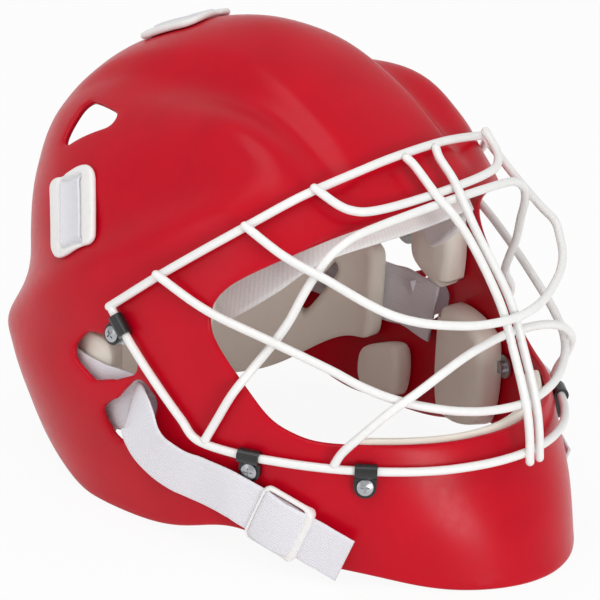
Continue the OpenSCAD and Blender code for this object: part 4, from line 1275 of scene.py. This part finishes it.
class HELMET_OT_plates(bpy.types.Operator):
    """Three strap plates, moulded to the shell's curve, each with a strip of webbing through it"""
    bl_idname = "helmet.plates"
    bl_label = "Strap plates"

    def execute(self, context):
        f = form()
        for side, word in SIDES + ((0, "top"),):
            make_plate(f, side, word)
        return {"FINISHED"}


SLIDER_W, SLIDER_MORE, SLIDER_R = 16.0, 4.4, 4.6   # half length, margin beside the strap, corner radius
WINDOW = np.array([[-13.4, -15.2], [10.4, -15.2], [10.4, 15.2], [-13.4, 15.2]])   # its opening


def make_slider(mid, axes, side, word, wide, web):
    """One slider and the return loop of its strap, in the slider's own axes."""
    def local(v):
        """Point from the slider's axes, on one side."""
        return (mid + v @ axes) * [side, 1, 1]

    def face(q, sign):
        """Front or back face: the front bar is thicker and rounder than the rear one."""
        x, y = q[:, 0], q[:, 1]
        z = 1.9 + 1.9 * bell(x - 13.5, 3.2) + 0.5 * bell(x + 15, 2.0)
        return local(np.stack([x, y, sign * z], -1))
    node = "slider_" + word
    loop = shifted(rounded(round_box(SLIDER_W, wide / 2 + SLIDER_MORE, SLIDER_R, 1.1), 2), -2.0)
    window = shifted(counterclockwise(rounded(even(WINDOW, 1.1, True), 3)), 1.6)
    points, faces = sheet(lambda q: face(q, 1), lambda q: face(q, -1), loop, [window], FINE_STEP, FINE_NEAR,
                          half_round(1.7))
    make("slider_moulding_" + word, points, faces, plain_finish("plastic"), [node], node)
    x = np.linspace(-13.4, 12.4, 60)
    z = 0.4 + 3.5 * np.sin(np.clip((x + 13.4) / 25.8, 0, 1) * math.pi) ** 0.5
    make_webbing("slider_loop_" + word, (), local(np.stack([x, 0 * x, z], -1)),
                 np.tile(axes[1] * [side, 1, 1], (60, 1)), wide + 2.2, web, 0.2, 30 + side, 0.5, node)


class HELMET_OT_sliders(bpy.types.Operator):
    """Two sliders, each with the strap's return loop bulging between its bars"""
    bl_idname = "helmet.sliders"
    bl_label = "Sliders"

    def execute(self, context):
        s = sizes()
        web = s.webbing / MM
        mid, way, cross, out = slide_frame(form(), web)
        for side, word in SIDES:
            make_slider(mid, np.stack([way, cross, out]), side, word, s.tail_width / MM, web)
        return {"FINISHED"}


FLOOR_HALF = 6.0      # half size of the floor, in metres
FLOOR_GLOW = 0.92     # share of the floor that glows for the camera
WORLD_LIGHT = 0.63    # strength of the world for all that isn't seen straight
# Large soft lamps: name, place, edge length in metres and power in watts
LAMPS = (("key_softbox", (-0.75, -0.1, 1.65), 1.1, 7.5),
         ("front_softbox", (-0.6, -1.95, 0.45), 0.7, 12),
         ("rear_softbox", (-1.9, 0.3, 0.6), 0.8, 2))
LAMP_AIM = (0, 0, 0.12)
# Camera: direction back from the object, the point it looks at, distance, roll, and lens on its sensor
CAMERA_BACK = (-0.6997, -0.6083, 0.3746)
CAMERA_AIM = (0, 0, 0.102)
CAMERA_FAR = 2.2
CAMERA_ROLL = math.radians(3.5)
LENS, SENSOR = 237.6, 36
PICTURE = 600
WHITE = (1, 1, 1, 1)


def lay_floor(scene):
    """Floor that looks white to the camera and in glossy faces, and is matt to all other light."""
    def build(tree):
        """Matt and glowing shader, mixed by the kind of ray."""
        rays = add(tree, "ShaderNodeLightPath").outputs
        seen = calc(tree, "MAXIMUM", rays["Is Camera Ray"], rays["Is Glossy Ray"])
        seen = calc(tree, "MAXIMUM", seen, rays["Is Transmission Ray"])
        share = calc(tree, "MULTIPLY", seen, FLOOR_GLOW)
        matt = add(tree, "ShaderNodeBsdfDiffuse", {"Color": (0.9, 0.9, 0.9, 1)}).outputs[0]
        glow = add(tree, "ShaderNodeEmission", {"Color": WHITE, "Strength": 1.0}).outputs[0]
        return add(tree, "ShaderNodeMixShader", {0: share, 1: matt, 2: glow}).outputs[0]
    e, z = FLOOR_HALF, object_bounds()[0][2]
    mesh = bpy.data.meshes.new("floor")
    mesh.from_pydata([(-e, -e, z), (e, -e, z), (e, e, z), (-e, e, z)], [], [(0, 1, 2, 3)])
    mesh.materials.append(finish("white studio floor", build))
    floor = bpy.data.objects.new("floor", mesh)
    scene.collection.objects.link(floor)
    floor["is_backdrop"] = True


def light_world(scene):
    """White world, dimmer for all rays but those that are seen straight."""
    scene.world = bpy.data.worlds.new("studio")
    scene.world.use_nodes = True
    tree = scene.world.node_tree
    tree.nodes.clear()
    rays = add(tree, "ShaderNodeLightPath").outputs
    seen = calc(tree, "MAXIMUM", rays["Is Camera Ray"], rays["Is Transmission Ray"])
    level = add(tree, "ShaderNodeMapRange", {"Value": seen, "To Min": WORLD_LIGHT, "To Max": 1.0})
    sky = add(tree, "ShaderNodeBackground", {"Color": WHITE, "Strength": level.outputs[0]})
    add(tree, "ShaderNodeOutputWorld", {"Surface": sky.outputs[0]})


def hang_lamps(scene):
    """Square area lamps, each turned to the aim point."""
    for name, place, size, power in LAMPS:
        lamp = bpy.data.lights.new(name, "AREA")
        lamp.shape, lamp.size, lamp.energy = "SQUARE", size, power
        obj = bpy.data.objects.new(name, lamp)
        way = Vector(place) - Vector(LAMP_AIM)
        obj.matrix_world = Matrix.Translation(place) @ way.to_track_quat("Z", "Y").to_matrix().to_4x4()
        scene.collection.objects.link(obj)


def set_camera(scene):
    """Camera at its distance along the back direction, with its axes turned by the roll."""
    back = Vector(CAMERA_BACK).normalized()
    side = Vector((0, 0, 1)).cross(back).normalized()
    up = back.cross(side)
    right = side * math.cos(CAMERA_ROLL) + up * math.sin(CAMERA_ROLL)
    top = up * math.cos(CAMERA_ROLL) - side * math.sin(CAMERA_ROLL)
    cam = bpy.data.cameras.new("camera")
    cam.lens, cam.sensor_width = LENS, SENSOR
    eye = bpy.data.objects.new("camera", cam)
    where = Vector(CAMERA_AIM) + back * CAMERA_FAR
    eye.matrix_world = Matrix.Translation(where) @ Matrix((right, top, back)).transposed().to_4x4()
    scene.collection.objects.link(eye)
    scene.camera = eye


class HELMET_OT_stage(bpy.types.Operator):
    """Floor, lamps, world and camera"""
    bl_idname = "helmet.stage"
    bl_label = "Stage"

    def execute(self, context):
        scene = context.scene
        for step in (lay_floor, light_world, hang_lamps, set_camera):
            step(scene)
        scene.render.resolution_x = scene.render.resolution_y = PICTURE
        scene.view_settings.view_transform = "Standard"
        return {"FINISHED"}


class HELMET_PT_sidebar(bpy.types.Panel):
    """Sizes, finishes and the pieces in the order they are built"""
    bl_label = "Helmet"
    bl_idname = "HELMET_PT_sidebar"
    bl_space_type = "VIEW_3D"
    bl_region_type = "UI"
    bl_category = "Helmet"

    def draw(self, context):
        for group in (context.scene.helmet_sizes, context.scene.helmet_finishes):
            box = self.layout.box()
            for key in group.__annotations__:
                box.prop(group, key)
        for kind in STEPS:
            self.layout.operator(kind.bl_idname)


STEPS = (HELMET_OT_shell, HELMET_OT_cage, HELMET_OT_hardware, HELMET_OT_liner, HELMET_OT_cradle,
         HELMET_OT_webbing, HELMET_OT_plates, HELMET_OT_sliders, HELMET_OT_stage)
GROUPS = (HelmetSizes, HelmetFinishes)


def register():
    for kind in GROUPS + STEPS + (HELMET_PT_sidebar,):
        bpy.utils.register_class(kind)
    bpy.types.Scene.helmet_sizes = bpy.props.PointerProperty(type=HelmetSizes)
    bpy.types.Scene.helmet_finishes = bpy.props.PointerProperty(type=HelmetFinishes)


def unregister():
    del bpy.types.Scene.helmet_finishes
    del bpy.types.Scene.helmet_sizes
    for kind in reversed(GROUPS + STEPS + (HELMET_PT_sidebar,)):
        bpy.utils.unregister_class(kind)


def main():
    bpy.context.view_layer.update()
    register()
    bpy.ops.helmet.shell()
    bpy.ops.helmet.cage()
    bpy.ops.helmet.hardware()
    bpy.ops.helmet.liner()
    bpy.ops.helmet.cradle()
    bpy.ops.helmet.webbing()
    bpy.ops.helmet.plates()
    bpy.ops.helmet.sliders()
    bpy.ops.helmet.stage()


if __name__ == "__main__":
    main()
